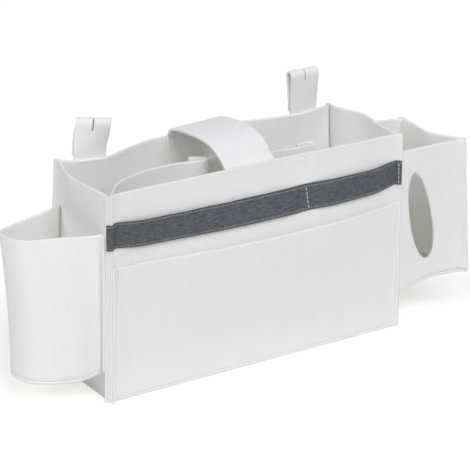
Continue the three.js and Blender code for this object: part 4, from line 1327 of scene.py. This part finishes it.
# Past the folded end, the tape's X only grows, so the middle tack's share can be read from it.
middle_share = float(np.interp(TACKS[1], tape_grid[0, FOLD_POINTS:, 0], tape_shares[FOLD_POINTS:]))
tack_shares = {
    "left": (TAPE_WRAP + SEAM_LINE) / tape_length,
    "middle": middle_share,
    "right": 1 - SEAM_LINE / tape_length,
}
low, high = TAPE_LOW + TACK_INSET, TAPE_TOP - TACK_INSET
for name, share in tack_shares.items():
    lift, nodes = TAPE_THICKNESS / 2, [f"tape_tack_{name}"]
    thread = dark_sewing if name == "left" else sewing
    upright_row(f"tape_stitches_{name}", tape, share, low, high, lift, nodes, thread)

bottle_row, bottle_height = np.linspace(0.1, 0.94, 200), BOTTLE_BOTTOM + LAYER + BASE_ROW_RISE
level_row("stitches_bottle_base", bottle, bottle_row, bottle_height, FACE, ["bottle_base_thread"])
tissue_row, tissue_height = np.linspace(0.2, 0.92, 120), TISSUE_SEAT + BASE_ROW_RISE
level_row("stitches_tissue_base", tissue_front, tissue_row, tissue_height, FACE, ["tissue_base_thread"])
print("stitch rows on seams and tape:", len(corner_rows) + len(tack_shares) + 2)

# %% Handle and loop stitches
HANDLE_ROW_INSET, LOOP_ROW_INSET = 3, 2
BACK_ROW_DROP, FRONT_ROW_DROP, LOOP_ROW_DROP = 40, 20, 19.5


def cross_row(name, middle, half_width, y, z, push, outward, nodes):
    """A level row across a band's tail, which goes with the wall that it is sewn to."""
    columns = middle + np.linspace(-half_width, half_width, 40)
    line = np.column_stack([columns, np.full(len(columns), y)])
    path = settle(at_height(line, z) + push(line, z))
    return stitch_row(name, path, np.tile([0.0, outward, 0.0], (len(path), 1)), nodes)


half_row, z = HANDLE_WIDTH / 2 - HANDLE_ROW_INSET, BOX_HEIGHT - BACK_ROW_DROP
tail_back, tail_front = handle_back - FACE, handle_front + FACE
nodes = ["handle_stitch_back"]
cross_row("handle_stitches_back", -HANDLE_SKEW, half_row, tail_back, z, back_push, -1, nodes)
nodes, z = ["handle_stitch_front"], BOX_HEIGHT - HANDLE_FRONT_DROP - FRONT_ROW_DROP
cross_row("handle_stitches_front", 0, half_row, tail_front, z, front_push, 1, nodes)

half_row, z = LOOP_WIDTH / 2 - LOOP_ROW_INSET, BOX_HEIGHT - LOOP_ROW_DROP
behind = back_corners[1, 1] + LAYER + FACE
for side, place in LOOP_PLACES.items():
    nodes = [f"{side}_loop_stitch"]
    cross_row(f"loop_stitches_{side}", place, half_row, behind, z, back_push, 1, nodes)
print("pieces dressed:", len(dressed))
